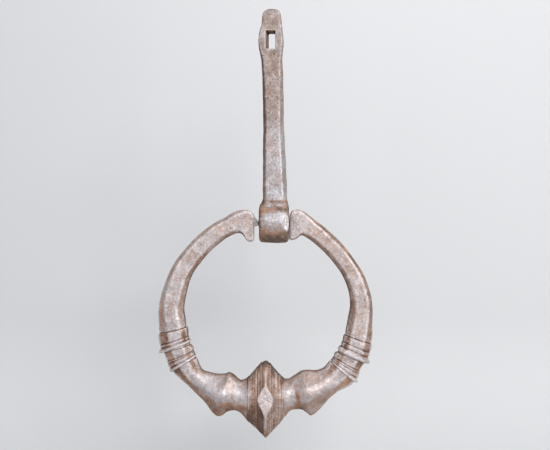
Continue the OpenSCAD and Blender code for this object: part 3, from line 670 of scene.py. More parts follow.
class Arm:
    """One arm of the ring. side is 1 for the left arm and -1 for the right one."""

    def __init__(self, side, centreline, bands):
        self.side = side
        self.sections = np.concatenate(
            [np.array(rows, float) + [0, *base, 0, 0, 0, 0, 0] for base, rows in bands])
        self.points = np.array(centreline, float) * [1, BOW / TABLE_BOW]
        steps = np.diff(self.points, axis=0)
        self.lengths = np.linalg.norm(steps, axis=1)[:, None]
        slopes = steps / self.lengths
        before, after = self.lengths[:-1], self.lengths[1:]
        self.tangents = np.zeros_like(self.points)
        self.tangents[[0, -1], 0] = np.sign(steps[[0, -1], 0])
        self.tangents[1:-1] = (slopes[:-1] * after + slopes[1:] * before) / (after + before)

    def at(self, station):
        i = np.clip(np.floor(station).astype(int), 0, len(self.lengths) - 1)
        length = self.lengths[i]
        return hermite((station - i)[:, None], self.points[i], self.tangents[i] * length,
                       self.points[i + 1], self.tangents[i + 1] * length)

    def heading(self, station):
        """Unit direction along the arm, turning evenly from level over the lug."""
        def chord(where):
            return unit(self.at(where + 0.02) - self.at(where - 0.02))

        share = np.clip(station / LEVEL_END, 0, 1)[:, None]
        turning = unit(self.tangents[:1] * (1 - share) + chord(np.full(1, LEVEL_END)) * share)
        return np.where((station < LEVEL_END)[:, None], turning, chord(station))

    def place(self, station, section):
        """Section points (rows, points, 2) carried to the ring."""
        tangent = self.heading(station) * self.side
        normal = np.stack([tangent[:, 1], -tangent[:, 0]], 1)
        lean = TILT * np.interp(station, [8, 9, 9.3, 9.95], [0, 1, 1, 0]) * self.side
        out = section[..., :1]
        flat = (self.at(station)[:, None] + normal[:, None] * out
                + tangent[:, None] * (out * lean[:, None, None]))
        return np.stack([flat[..., 0], section[..., 1], PIVOT_Z + flat[..., 1]], -1)

    def bar(self):
        """Stations and rows of the bar, evenly spaced up to the neck."""
        dense = np.linspace(0, self.sections[-3, 0], 6000)
        gaps = np.linalg.norm(np.diff(self.at(dense), axis=0), axis=1)
        run = np.concatenate([[0], np.cumsum(gaps)])
        count = int(round(run[-1] / ROW_STEP)) + 1
        station = np.interp(np.linspace(0, run[-1], count), run, dense)
        station = np.concatenate([station, [self.sections[-2, 0], 15.5, 15.7, 15.9]])
        return station, self.place(station, outline(curve(self.sections, station)))


LEFT = Arm(1, LEFT_LINE, LEFT_BANDS)
RIGHT = Arm(-1, RIGHT_LINE, RIGHT_BANDS)


# ------------------------------------------------------------------ ring bar
PINTLE_R = 3.05
PINTLE_GAP = 1.4           # from the pivot's middle plane to each pintle's tip
PINTLE, LUG_FACE = -2.0, -0.5      # stations that mark the pintles and the lugs' end faces


def pintle_rows(arm, end_row, nub, nub_widths):
    """Rows of a pintle, tip first. nub is the reach of the nub at its root.

    nub_widths holds the nub's section where it leaves the lug and at its point.
    """
    end_x = arm.points[0, 0]
    angle = np.arctan2(end_row[:, 2] - end_row[:, 2].mean(), end_row[:, 1])
    t = np.linspace(0, 1, NUB_ROWS)[:, None]
    root, point = np.array(nub_widths)
    section = outline(root * (1 - t) + point * t)
    x = np.broadcast_to(end_x + arm.side * nub * t, section.shape[:2])
    rows = list(np.stack([x, section[..., 1], PIVOT_Z + section[..., 0]], -1))
    tip = abs(-PINTLE_GAP * arm.side - end_x)
    turned = [(nub + 0.05, 2.6), (nub + 0.1, 3.0)]      # distance from the lug, radius
    turned += [(nub + 0.1 + (tip - 0.9 - nub) * share, PINTLE_R)
               for share in np.linspace(0.08, 1, 14)]
    turned += [(tip - 0.4, 2.8), (tip - 0.12, 2.3), (tip, 1.7)]
    for distance, radius in turned:
        rows.append(np.stack([np.full(len(angle), end_x + arm.side * distance),
                              radius * np.cos(angle), PIVOT_Z + radius * np.sin(angle)], -1))
    return np.array(rows[::-1])


def half_ring(arm, nub, nub_widths, face_rows):
    """Stations and rows from pintle tip to neck. face_rows nub rows count as lug face."""
    station, rows = arm.bar()
    pintle = pintle_rows(arm, rows[0], nub, nub_widths)
    fill = between(rows[0], pintle[-1], INNER_EIGHTHS)[::-1]
    marks = [np.full(len(pintle) - face_rows, PINTLE), np.full(len(fill) + face_rows, LUG_FACE)]
    return np.concatenate([*marks, station]), np.concatenate([pintle, fill, rows])


def in_seat(station):
    upper = smooth(UPPER_SEAT[0] - 0.03, UPPER_SEAT[0] + 0.03, station)
    upper = upper * smooth(UPPER_SEAT[1], UPPER_SEAT[1] - 0.05, station)
    lower = smooth(LOWER_SEAT[0] - 0.02, LOWER_SEAT[0] + 0.03, station)
    lower = lower * smooth(LOWER_SEAT[1], LOWER_SEAT[1] - 0.04, station)
    return np.clip(upper + lower, 0, 1)


def ring_tone(pos, facing, station, left, crease):
    """What to add to the ring's wear and rust, place by place, painted highlights and painted shade
    among it.
    """
    right = ~left
    height = pos[:, 2] - PIVOT_Z
    radial = unit((pos - [-5.0, 0.0, PIVOT_Z - 62.0]) * [1, 0, 1])
    outward = (radial * facing).sum(1)
    low = smooth(-90, -104, height)
    # downward faces low on the ring: painted darker as painted shade, and rustier
    underside_shade_and_rust = smooth(-0.05, -0.6, facing[:, 2]) * low
    blotch = fbm(pos, 3.2, 3, seed=317)
    # a rusty place outside the left arm, and two painted highlights at its foot
    glaze = left * smooth(-66, -74, pos[:, 0]) * smooth(-46, -58, height) * smooth(-84, -80, height)
    painted_highlight = left * (smooth(12, 5, np.hypot(pos[:, 0] + 48, height + 112))
                    + 0.8 * smooth(9, 3, np.hypot(pos[:, 0] + 36, height + 120.5)))
    pintle, past_pintle = station < -1.5, station > -0.6

    wear_and_painted_light = np.where(outward > 0, outward * np.where(left, 0.16, -0.06), 0.04 * outward) * (1 - low)
    wear_and_painted_light = wear_and_painted_light - underside_shade_and_rust * np.where(left, 0.20 + 0.45 * blotch, -0.05 + 0.15 * blotch)
    # upward faces low down, inside the ring, are painted darker: painted shade
    wear_and_painted_light = wear_and_painted_light + 0.02 * low - 0.10 * low * smooth(0.45, 0.9, facing[:, 2])
    # glaze darkens the rusty place; the painted highlights lighten, and the crease is painted dark as
    # shade
    wear_and_painted_light = wear_and_painted_light - 0.12 * glaze + 0.22 * painted_highlight - 0.62 * crease
    # painted highlights on the left and right necks
    wear_and_painted_light = wear_and_painted_light + 0.16 * left * smooth(14.7, 15.0, station) * (1 - underside_shade_and_rust)
    wear_and_painted_light = wear_and_painted_light + 0.10 * right * smooth(14.9, 15.1, station)
    wear_and_painted_light = wear_and_painted_light + 0.10 * left * smooth(-30, -60, height) * (1 - low)
    wear_and_painted_light = wear_and_painted_light + 0.02 * smooth(2.8, 1.2, station) * past_pintle
    wear_and_painted_light = wear_and_painted_light + 0.16 * past_pintle * (station < -0.4) - 0.5 * pintle
    wear_and_painted_light = wear_and_painted_light - 0.15 * right * smooth(-55, -25, height) * smooth(2.0, 3.2, station)

    outside = left * (outward > 0) * smooth(-0.2, 0.3, fbm(pos, 11.0, 2, seed=311))
    rust = 0.08 * low + (0.16 + 0.45 * outside) * np.abs(outward) * (1 - low)
    rust = rust + underside_shade_and_rust * np.where(left, 0.75 + 0.9 * blotch, 0.34 + 0.4 * blotch)
    rust = rust + 0.42 * glaze - 0.3 * painted_highlight + 0.25 * crease + 0.3 * pintle
    return wear_and_painted_light, rust - 0.30 * smooth(2.8, 1.4, station)


def ring_front(pos, facing, station, left):
    """Flats and chamfers are told apart sharply on the arms and softly on the shoulders.
    Faces towards the front and back come out paler, and on the shoulders upward faces too: painted
    light from above.
    """
    shoulder = smooth(11.6, 13.2, station)
    tight = smooth(9.6, 10.0, station) * smooth(12.2, 11.3, station)
    y = np.abs(facing[:, 1])
    rim = (station > -0.6) & (station < 0.25) & (np.abs(pos[:, 1]) > ARM_T - 1.7) & left
    y = np.where(rim, 1.0, y)
    arm = 0.52 * smooth(0.25, 0.76, y) + 0.48 * smooth(0.80, 0.965, y)
    arm = arm * (1 - tight) + (0.10 + 0.90 * smooth(0.885, 0.975, y)) * tight
    soft = 0.06 + 0.94 * smooth(0.25, 0.97, y * 0.95 + facing[:, 2] * 0.26)
    return arm * (1 - shoulder) + soft * shoulder


def ring_highlight_lines(pos, station, left, outer_corner, inner_corner):
    """Painted highlight lines along the corners of the flats, broken here and there."""
    noise = fbm(pos, 14.0, 2, seed=301) + 0.5 * fbm(pos, 3.0, 2, seed=303)
    shown = smooth(-0.15, 0.35, noise + 0.25)
    arm = smooth(1.0, 2.0, station) * smooth(12.0, 11.3, station)
    inner = np.where(left, 0.75 * smooth(4.0, 6.5, station), 0.20)
    corners = outer_corner * np.where(left, 0.75, 0.85) + inner_corner * inner
    return corners * shown * arm * (1 - in_seat(station))


def build_ring_bar():
    nub_root = [4.7, 3.1, ARM_T - 0.6, 4.3, 2.8, 4.3, 4.3, 0.5]
    nub_point = [0.1, 1.8, ARM_T - 1.1, -0.1, 1.6, 3.9, 3.9, 0.3]
    left_station, left_rows = half_ring(LEFT, 3.1, (nub_root, nub_point), NUB_ROWS)
    right_station, right_rows = half_ring(
        RIGHT, 0.2, ([3.6] * 3 + [1.5] * 5, [3.2] * 3 + [1.3] * 5), 0)
    grid = np.concatenate([left_rows, right_rows[::-1]])
    count = grid.shape[1]

    # Per vertex values; the last two are the middles of the end caps.
    row_station = np.concatenate([left_station, right_station[::-1]])
    station = np.concatenate([np.repeat(row_station, count), [PINTLE, PINTLE]])
    row_left = np.arange(len(grid)) < len(left_rows)
    left = np.concatenate([np.repeat(row_left, count), [True, False]])
    block, k = np.divmod(np.arange(count), CORNER_POINTS + FLAT_POINTS)
    near_corner = bump(k, (CORNER_POINTS - 1) / 2, 1.5) * (k < CORNER_POINTS)

    def corner_share(*blocks):
        return np.append(np.tile(near_corner * np.isin(block, blocks), len(grid)), [0, 0])

    surf = Surface(sweep("ring_bar_forged", grid))
    # grooves where the collars end
    groove = (0.55 * bump(station, UPPER_SEAT[0] - 0.03, 0.030)
              + 0.5 * bump(station, UPPER_SEAT[1] + 0.02, 0.030)
              + 0.35 * bump(station, LOWER_SEAT[0] - 0.02, 0.025))
    groove = groove * (0.75 + 0.35 * fbm(surf.pos, 3.0, 2, seed=5))
    seat = in_seat(station)
    amount = (1 - 0.93 * seat) * (0.25 + 0.75 * smooth(-0.3, 0.6, station)) * (station > -1.5)
    surf.forge(amount, seed=0, extra=-groove - 0.02 * seat)

    pos, facing = surf.pos, surf.facing
    height = pos[:, 2] - PIVOT_Z
    # painted shade in the hollow where the right shoulder rises from the neck, wider below; it also
    # adds a little rust and takes away the shine
    crease = bump(pos[:, 0], 16.0, 1.7 + 1.7 * smooth(-118, -130, height))
    crease = crease * smooth(-112, -120, height) * ~left
    wear_and_painted_light, rust = ring_tone(pos, facing, station, left, crease)
    # the shoulders shine in patches
    gloss = smooth(11.4, 12.4, station) * (0.75 + 0.5 * fbm(pos, 7.0, 2, seed=331))
    gloss = gloss * (1 - 0.6 * smooth(-0.3, -0.7, facing[:, 2])) * (1 - crease)
    gloss = gloss * (1 - 0.6 * left * smooth(14.5, 15.0, station))
    shoulder = smooth(11.6, 13.0, station)
    flange = smooth(15.2, 15.34, station) * np.where(left, 0.6, 1.0)
    lug_end = (station > -0.6) & (station < 0.3)
    surf.store_looks(
        ring_front(pos, facing, station, left), wear_and_painted_light, rust,
        line=ring_highlight_lines(pos, station, left, corner_share(0, 3), corner_share(7, 4)),
        edge_share=(1 - 0.7 * shoulder) * (1 - flange),
        dirt=(1 - 0.65 * shoulder * ((station < 14.9) | ~left)) * np.where(lug_end, 0.1, 1.0),
        gloss=np.clip(gloss + 0.18 * (station > -0.6), 0, 1))
    add_piece(surf.mesh, "ring_body", "ring_bar", IRON)


build_ring_bar()


# ------------------------------------------------------------------ collars
# Filed profiles: station, height over the bar.
UPPER_LEFT = [
    [9.25, 0.12], [9.265, 0.55], [9.3, 0.8], [9.5, 0.9], [9.70, 0.85], [9.735, 0.70], [9.77, 0.15],
    [9.80, 0.75], [9.83, 1.15], [9.87, 1.15], [9.90, 0.75], [9.93, 0.3], [9.955, 0.8],
    [9.985, 1.9], [10.02, 2.85], [10.05, 3.1], [10.075, 2.9], [10.093, 1.9], [10.10, 0.7]]
UPPER_RIGHT = [
    [9.25, 0.12], [9.265, 0.55], [9.3, 0.8], [9.4, 0.9], [9.53, 0.85], [9.565, 0.70], [9.60, 0.15],
    [9.63, 0.75], [9.67, 1.15], [9.75, 1.15], [9.785, 0.75], [9.82, 0.3], [9.85, 0.9],
    [9.90, 1.9], [9.96, 2.9], [10.01, 3.1], [10.05, 2.8], [10.08, 1.7], [10.10, 0.7]]
LOWER = [
    [10.55, 0.1], [10.565, 0.5], [10.6, 0.9], [10.63, 0.8], [10.66, 0.25], [10.69, 0.8],
    [10.73, 1.1], [10.80, 1.15], [10.83, 0.9], [10.86, 0.35], [10.885, 1.0], [10.92, 1.9],
    [10.96, 2.25], [10.995, 2.1], [11.03, 1.2], [11.05, 0.3]]
COLLAR_STEP = 0.13      # between rows along a collar


def build_collar(node, arm, profile, seat, seed, lift):
    """lift shifts the profile along the bar, most on the inner side."""
    start, end = seat
    length = np.linalg.norm(arm.at(np.array([end])) - arm.at(np.array([start])))
    station = np.linspace(start, end, int(length / COLLAR_STEP))
    widths = curve(arm.sections, station)
    section = outline(widths)
    bar = arm.place(station, section)
    normals = outline_normals(section)
    flat = smooth(0.87, 0.975, np.abs(normals[..., 1]))

    # the filed profile wanders and is worn unevenly round the bar
    wander = fbm(bar, 7.0, 2, seed) * 0.020 + fbm(bar, 2.4, 2, seed + 5) * 0.006
    inward = (widths[:, 0, None] - section[..., 0]) / (widths[:, 0] + widths[:, 1])[:, None]
    taper = np.minimum(smooth(0, 0.12, (station - start) / (end - start)),
                       smooth(0, 0.06, (end - station) / (end - start)))
    shifted = station[:, None] + (wander + lift * inward) * taper[:, None]
    height = curve(np.array(profile), shifted.ravel())[:, 0].reshape(shifted.shape)
    inner_side = smooth(-1.0, -6.0, section[..., 0])
    lowered = (height - 0.9) * (1 - 0.40 * flat) * (1 - 0.62 * inner_side)
    height = np.where(height > 0.9, 0.9 + lowered, height)
    worn = 1 + 0.22 * fbm(bar, 4.5, 2, seed + 9)
    worn = worn - 0.10 * smooth(0.2, 0.6, fbm(bar, 9.0, 1, seed + 3))
    height = np.where(height > 0.4, 0.4 + (height - 0.4) * worn, height)

    outer = arm.place(station, section + normals * height[..., None])
    back = np.linspace(end, start, 12)
    gap = FIT_GAP * np.array([1, 1, 1, 0.45, 0.45, 0.45, 0.45, 0])
    inner = arm.place(back, outline(curve(arm.sections, back) + gap))
    grid = np.concatenate([outer, between(outer[-1], inner[0], (0.34, 0.67)),
                           inner, between(inner[-1], outer[0], (0.5,))])

    def padded(values):
        """Values on the outer rows, and 0 on the others."""
        return np.append(values, np.zeros((len(grid) - len(outer)) * grid.shape[1]))

    flat, height = padded(flat), padded(height)
    surf = Surface(sweep(node + "_filed", grid, wrap=True))
    surf.forge(padded(np.full(shifted.shape, 0.6)), seed, hammer=0.12, pit=1.3)
    pos = surf.pos
    proud = smooth(0.95, 1.4, height)
    brown = (1 - flat) * smooth(-0.8, 0.0, fbm(pos, 5.0, 2, seed + 31)) * (1 - proud)
    pitted = brown * smooth(0.05, 0.45, fbm(pos, 1.8, 2, seed + 37))
    surf.store_looks(
        front=0.12 + 0.88 * flat,
        wear_and_painted_light=(0.12 - 0.12 * brown - 0.25 * pitted + 0.22 * proud
              - 0.30 * smooth(0.45, 0.15, height)),
        rust=0.02 + 0.10 * brown - 0.3 * proud,
        # line paints a highlight along the highest crests of the profile
        line=smooth(1.0, 1.35, height) * (0.45 + 0.25 * fbm(pos, 3.0, 2, seed + 41)),
        dirt=0.5)
    add_piece(surf.mesh, "ring_body", node, IRON_WORN)


build_collar("left_upper_collar", LEFT, UPPER_LEFT, UPPER_SEAT, seed=3, lift=0.13)
build_collar("right_upper_collar", RIGHT, UPPER_RIGHT, UPPER_SEAT, seed=4, lift=0.05)
build_collar("left_lower_collar", LEFT, LOWER, LOWER_SEAT, seed=6, lift=0.05)
build_collar("right_lower_collar", RIGHT, LOWER, LOWER_SEAT, seed=8, lift=0.0)


# ------------------------------------------------------------------ striker bead
# Signed share of the half length, reach below the axis, reach above it, half thickness.
BEAD_ROWS = np.array([
    [-1, 17.4, 12.6, 11.8], [-0.9, 18.4, 13.6, 12.1], [-0.72, 20.4, 16.0, 12.5],
    [-0.5, 22.6, 19.4, BEAD_FACE - 0.75], [-0.41, 23.6, 20.5, BEAD_FACE + 0.03],
    [-0.26, 25.4, 22.4, 15.15], [-0.08, BEAD_BELOW - 0.9, BEAD_ABOVE - 0.4, 17.6],
    [0, BEAD_BELOW, BEAD_ABOVE, 18.3], [0.08, BEAD_BELOW - 0.7, BEAD_ABOVE - 0.3, 17.6],
    [0.26, 25.3, 21.9, 15.15], [0.41, 23.5, 19.6, BEAD_FACE + 0.03],
    [0.5, 22.3, 18.4, BEAD_FACE - 0.75], [0.72, 19.8, 15.3, 12.5], [0.9, 16.9, 13.1, 12.1],
    [1, 15.0, 12.3, 11.8]])
# Filed grooves round the bead: share of the half length, depth.
GROOVES = ((-0.88, 0.34), (-0.74, 0.22), (-0.60, 0.30), (-0.45, 0.42), (-0.18, 0.34),
           (0.216, 0.40), (0.464, 0.42), (0.685, 0.34), (0.87, 0.30))
GROOVE_WIDTH, FILE_PITCH = 0.30, 1.03
SIDE_FLAT = 4.6         # half depth of the flats below and above


def bead_section(x):
    below, above, thick = lines(BEAD_ROWS, x / BEAD_HALF).T
    share = np.abs(x) / BEAD_HALF
    flat = 0.8 + 3.4 * smooth(0.42, 0.95, share)
    side = np.full_like(x, SIDE_FLAT)
    rounding = 3.4 - 2.6 * np.maximum(0, 1 - share / 0.9)
    return outline(np.stack([below, above, thick, flat, flat, side, side, rounding], 1),
                   flat_points=19)


def bead_outer(length_x, section):
    """The outer rows, grooved, forged and cut flat in front and behind."""
    x = np.broadcast_to(BEAD_X + length_x[:, None], section.shape[:2])

    def carried(points):
        return np.stack([x, points[..., 1], BEAD_Z - points[..., 0]], -1)

    outer = carried(section)
    wave = fbm(outer, (4.0, 9.0, 9.0), 2, seed=91)
    wavy_x = length_x[:, None] + wave * 0.22
    uneven = 0.7 + 0.5 * fbm(outer, 5.0, 2, seed=95)
    cut = sum(depth * uneven * bump(wavy_x, share * BEAD_HALF, GROOVE_WIDTH)
              for share, depth in GROOVES)
    strokes = 0.5 + 0.5 * np.sin(wavy_x * 2 * math.pi / FILE_PITCH + 1.5 * wave)
    lower = smooth(2.0, 9.0, section[..., 0])
    cut = cut + lower * 0.10 * strokes * (0.6 + 0.4 * fbm(outer, 3.0, 2, seed=93))
    height = forged(outer, seed=12, hammer=0.12)[0] * 0.8 - cut
    outer = carried(section + outline_normals(section) * height[..., None])
    face = BEAD_FACE - 0.04 + 0.12 * fbm(outer, 2.6, 3, seed=97)
    face = face - 0.34 * smooth(0.22, 0.5, fbm(outer, 1.9, 2, seed=99))
    face = face - 0.22 * smooth(0.12, 0.42, fbm(outer, 0.95, 2, seed=103))
    face = np.minimum(face, BEAD_FACE + 0.05)
    outer[..., 1] = np.clip(outer[..., 1], -face, face)
    return outer


def lozenge_share(pos, x, z):
    """1 on the flats cut into the front and back, 0 off them."""
    below, above, thick = lines(BEAD_ROWS, x / BEAD_HALF).T
    tall = np.where(z < 0, below, above)
    slope = np.maximum(thick - BEAD_FACE, 0) / (thick - SIDE_FLAT)
    reach = 0.8 + slope * (tall - 0.8)
    inside = (np.abs(x) < 0.43 * BEAD_HALF) * (np.abs(pos[:, 1]) > BEAD_FACE - 1.0)
    return smooth(reach + 0.3, reach - 0.15, np.abs(z)) * inside


def build_bead():
    length_x = np.linspace(-BEAD_HALF, BEAD_HALF, 170)
    section = bead_section(length_x)
    outer = bead_outer(length_x, section)
    angle = np.arctan2(section[-1, :, 1], section[-1, :, 0])
    bore_r = NECK_R + FIT_GAP
    inner = np.stack([np.stack([np.full_like(angle, BEAD_X + x), bore_r * np.sin(angle),
                                BEAD_Z - bore_r * np.cos(angle)], -1)
                      for x in np.linspace(BEAD_HALF, -BEAD_HALF, 10)])
    grid = np.concatenate([outer, between(outer[-1], inner[0], INNER_EIGHTHS),
                           inner, between(inner[-1], outer[0], INNER_EIGHTHS)])
    surf = Surface(sweep("striker_bead_filed", grid, wrap=True))
    surf.forge(0.0, seed=12)       # the rows are forged already; this finds the pits

    pos = surf.pos
    x, z, depth = pos[:, 0] - BEAD_X, pos[:, 2] - BEAD_Z, np.abs(pos[:, 1])
    lozenge = lozenge_share(pos, x, z)
    off = 1 - lozenge
    # a painted highlight down the middle ridge of the front and back
    ridge_highlight = bump(x, 0, 1.0) * smooth(5.0, 9.0, depth)
    dark = smooth(2.0, -4.0, x) * smooth(0.0, -7.0, z)
    streak = (fbm(pos, (0.62, 26.0, 26.0), 2, seed=201)
              + 0.6 * fbm(pos, (1.7, 18.0, 18.0), 1, seed=203))
    wear_and_painted_light = (0.26 * streak - 0.10 + 0.34 * ridge_highlight - 0.22 * dark
            + 0.12 * smooth(0, 4, x) * smooth(-2, -6, z)) * off + 0.62 * lozenge
    # the top and bottom, near the middle plane, are painted darker: painted shade
    wear_and_painted_light = wear_and_painted_light - 0.30 * smooth(9.0, 3.0, depth) + 0.08 * smooth(2.0, 6.0, z)
    wear_and_painted_light = wear_and_painted_light - 0.16 * lozenge * smooth(0.1, 0.5, fbm(pos, 1.5, 2, seed=207))
    # a painted highlight line along the middle crest
    crest_highlight = 0.3 * bump(x, 0, 0.7) * smooth(7.0, 10.0, depth) * off
    surf.store_looks(
        front=smooth(0.30, 1.0, np.abs(surf.facing[:, 1])) * 0.8,
        wear_and_painted_light=wear_and_painted_light,
        rust=-0.45 * lozenge + 0.06 * dark + 0.20 - 0.20 * streak,
        line=lozenge * (1.15 + 1.6 * fbm(pos, 1.0, 2, seed=211)) + crest_highlight,
        edge_share=smooth(BEAD_HALF, BEAD_HALF - 1.2, np.abs(x)) * 0.6,
        dirt=0.5,
        gloss=0.55 * lozenge)
    add_piece(surf.mesh, "ring_body", "striker_bead", IRON_DARK)


build_bead()


# ------------------------------------------------------------------ shank and eye
HEAD = 21.8                       # from the slot's middle up to the tip
SLOT_Z = TIP_Z - HEAD
SLOT_HALF_Z, SLOT_HALF_Y = 6.25, 10.6
LEAN_START = 9.0                  # height where the shank starts to lean to the left
FOOT_X, SLOT_SHIFT = 0.4, -2.4    # middle of the foot, and how far it has moved at the slot
BORE_R = 3.2
VOXEL = 0.00042                   # remesh size in metres
BEVEL_X, BEVEL_Y = 5.4, -14.1     # a point on the bevel at the eye's right end, in front
BEVEL_NORMAL = np.array([0.411, -0.911, 0.0])
# Height, half width left, half width right, half thickness, chamfer, corner round.
SHANK_ROWS = np.array([
    [-10.0, 8.6, 8.9, 9.0, 1.6, 1.2], [-5.5, 9.4, 9.2, 9.4, 1.8, 1.2],
    [-2.6, 9.5, 9.3, 9.0, 2.2, 1.4], [-0.4, 8.9, 9.0, 8.2, 2.6, 1.4],
    [1.6, 8.2, 8.8, 7.3, 2.8, 1.2], [4.2, 8.0, 8.6, 6.9, 3.0, 1.0],
    [9.0, 8.0, 8.6, 6.7, 3.2, 1.0], [30.0, 7.55, 8.15, 6.6, 3.2, 1.0],
    [52.0, 6.7, 7.5, 6.4, 3.0, 1.0], [74.0, 6.5, 7.8, 6.1, 2.8, 1.0],
    [SLOT_Z - 24, 6.6, 7.7, 5.8, 2.2, 1.0], [SLOT_Z - 14, 6.9, 7.6, 5.5, 1.6, 0.8],
    [SLOT_Z - 7, 8.0, 8.0, 5.3, 1.2, 0.8], [SLOT_Z, 8.9, 8.6, 5.3, 1.1, 0.8],
    [SLOT_Z + 7, 7.8, 7.8, 5.1, 1.1, 0.8], [SLOT_Z + 11.5, 6.8, 7.1, 4.9, 1.1, 0.8],
    [TIP_Z - 4.2, 6.3, 6.4, 4.6, 1.3, 0.8], [TIP_Z - 1.6, 5.0, 5.4, 4.1, 1.5, 0.8],
    [TIP_Z - 0.5, 3.4, 4.2, 3.2, 1.4, 0.8], [TIP_Z - 0.1, 2.1, 2.9, 2.3, 0.9, 0.5]])
# The eye's barrel: x, radius.
BARREL = [(-10.45, 9.0), (-10.4, 10.8), (-10.1, 12.4), (-9.6, 13.3), (-8.6, 13.85), (-6, 14.05),
          (-2, 14.15), (3, 14.15), (7, 14.0), (8.8, 13.75), (9.6, 13.2), (10.05, 12.4),
          (10.3, 11.0), (10.33, 9.0)]


def shank_x(z):
    """Middle of the shank at height z; the lean eases off above the slot."""
    easing = np.where(z < SLOT_Z, 1, 1 - 0.35 * (z - SLOT_Z) / HEAD)
    shift = SLOT_SHIFT * (z - LEAN_START) / (SLOT_Z - LEAN_START) * easing
    return np.where(z < LEAN_START, FOOT_X, FOOT_X + shift)


SLOT_X = float(shank_x(SLOT_Z)) - 0.5


def shank_bar():
    z = np.concatenate([np.linspace(-10, 12, 45), np.linspace(12.6, TIP_Z - 5, 150),
                        np.linspace(TIP_Z - 4.5, TIP_Z - 0.1, 16)])
    left, right, thick, chamfer, rounding = curve(SHANK_ROWS, z).T
    section = outline(np.stack([left, right, thick, left - 0.62 * chamfer, right - chamfer,
                                thick - 0.8 * chamfer, thick - chamfer, rounding], 1),
                      corner_points=4, flat_points=4)
    return sweep("tmp_bar", np.stack([shank_x(z)[:, None] - section[..., 0], section[..., 1],
                                      np.broadcast_to(z[:, None], section.shape[:2])], -1))


def lathe(name, profile, count):
    """A closed solid turned about the pivot from (x, radius) pairs."""
    angle = np.linspace(0, 2 * math.pi, count, endpoint=False)
    return sweep(name, np.array([
        np.stack([np.full(count, x), radius * np.sin(angle), PIVOT_Z + radius * np.cos(angle)], -1)
        for x, radius in profile]))


def slot_cutter():
    """A block through the shank from front to back, its left side slanting."""
    plan = [(-4.6, -SLOT_HALF_Y), (3.4, -SLOT_HALF_Y), (3.4, SLOT_HALF_Y), (0.2, SLOT_HALF_Y)]
    verts = [[SLOT_X + x, y, z] for z in (SLOT_Z - SLOT_HALF_Z, SLOT_Z + SLOT_HALF_Z)
             for x, y in plan]
    return build_mesh("tmp_slot", verts, [[0, 1, 2, 3], [7, 6, 5, 4], [0, 4, 5, 1],
                                          [1, 5, 6, 2], [2, 6, 7, 3], [3, 7, 4, 0]])


def shank_solid():
    """Bar and barrel joined, bored and slotted, then remeshed evenly."""
    meshes = (shank_bar(), lathe("tmp_barrel", BARREL, 120),
              lathe("tmp_bore", [(-30, BORE_R), (30, BORE_R)], 64), slot_cutter())
    solids = [bpy.data.objects.new(mesh.name, mesh) for mesh in meshes]
    for ob in solids:
        bpy.context.scene.collection.objects.link(ob)
    base = solids[0]
    for ob, operation in zip(solids[1:], ("UNION", "DIFFERENCE", "DIFFERENCE")):
        boolean = base.modifiers.new(ob.name, "BOOLEAN")
        boolean.operation = operation
        boolean.object = ob
        boolean.solver = "EXACT"
    remesh = base.modifiers.new("vox", "REMESH")
    remesh.mode = "VOXEL"
    remesh.voxel_size = VOXEL
    remesh.adaptivity = 0.0
    graph = bpy.context.evaluated_depsgraph_get()
    mesh = bpy.data.meshes.new_from_object(base.evaluated_get(graph))
    mesh.name = "shank_forged"
    for ob in solids:
        bpy.data.objects.remove(ob)
    shade_smooth(mesh)
    mesh.materials.clear()
    return mesh


def axis_distance(pos):
    return np.hypot(pos[:, 1], pos[:, 2] - PIVOT_Z)


def over_bevel(pos):
    return ((pos[:, 0] - BEVEL_X) * BEVEL_NORMAL[0] + (pos[:, 1] - BEVEL_Y) * BEVEL_NORMAL[1])


def soften(mesh):
    """Smooths the shank's foot into the eye and cuts the bevel."""
    surf = Surface(mesh)
    pos = surf.pos
    foot = smooth(6.0, 1.5, pos[:, 2]) * smooth(-13.0, -7.0, pos[:, 2])
    pos = surf.relax(pos, 40, (0.5 * foot)[:, None])
    off_bore = smooth(3.9, 4.6, axis_distance(pos))
    pos = surf.relax(pos, 2, (0.5 * off_bore)[:, None])
    cut = np.maximum(over_bevel(pos), 0)[:, None] * BEVEL_NORMAL
    surf.pos = pos - cut * smooth(4.0, -2.0, pos[:, 2])[:, None]
    surf.update()


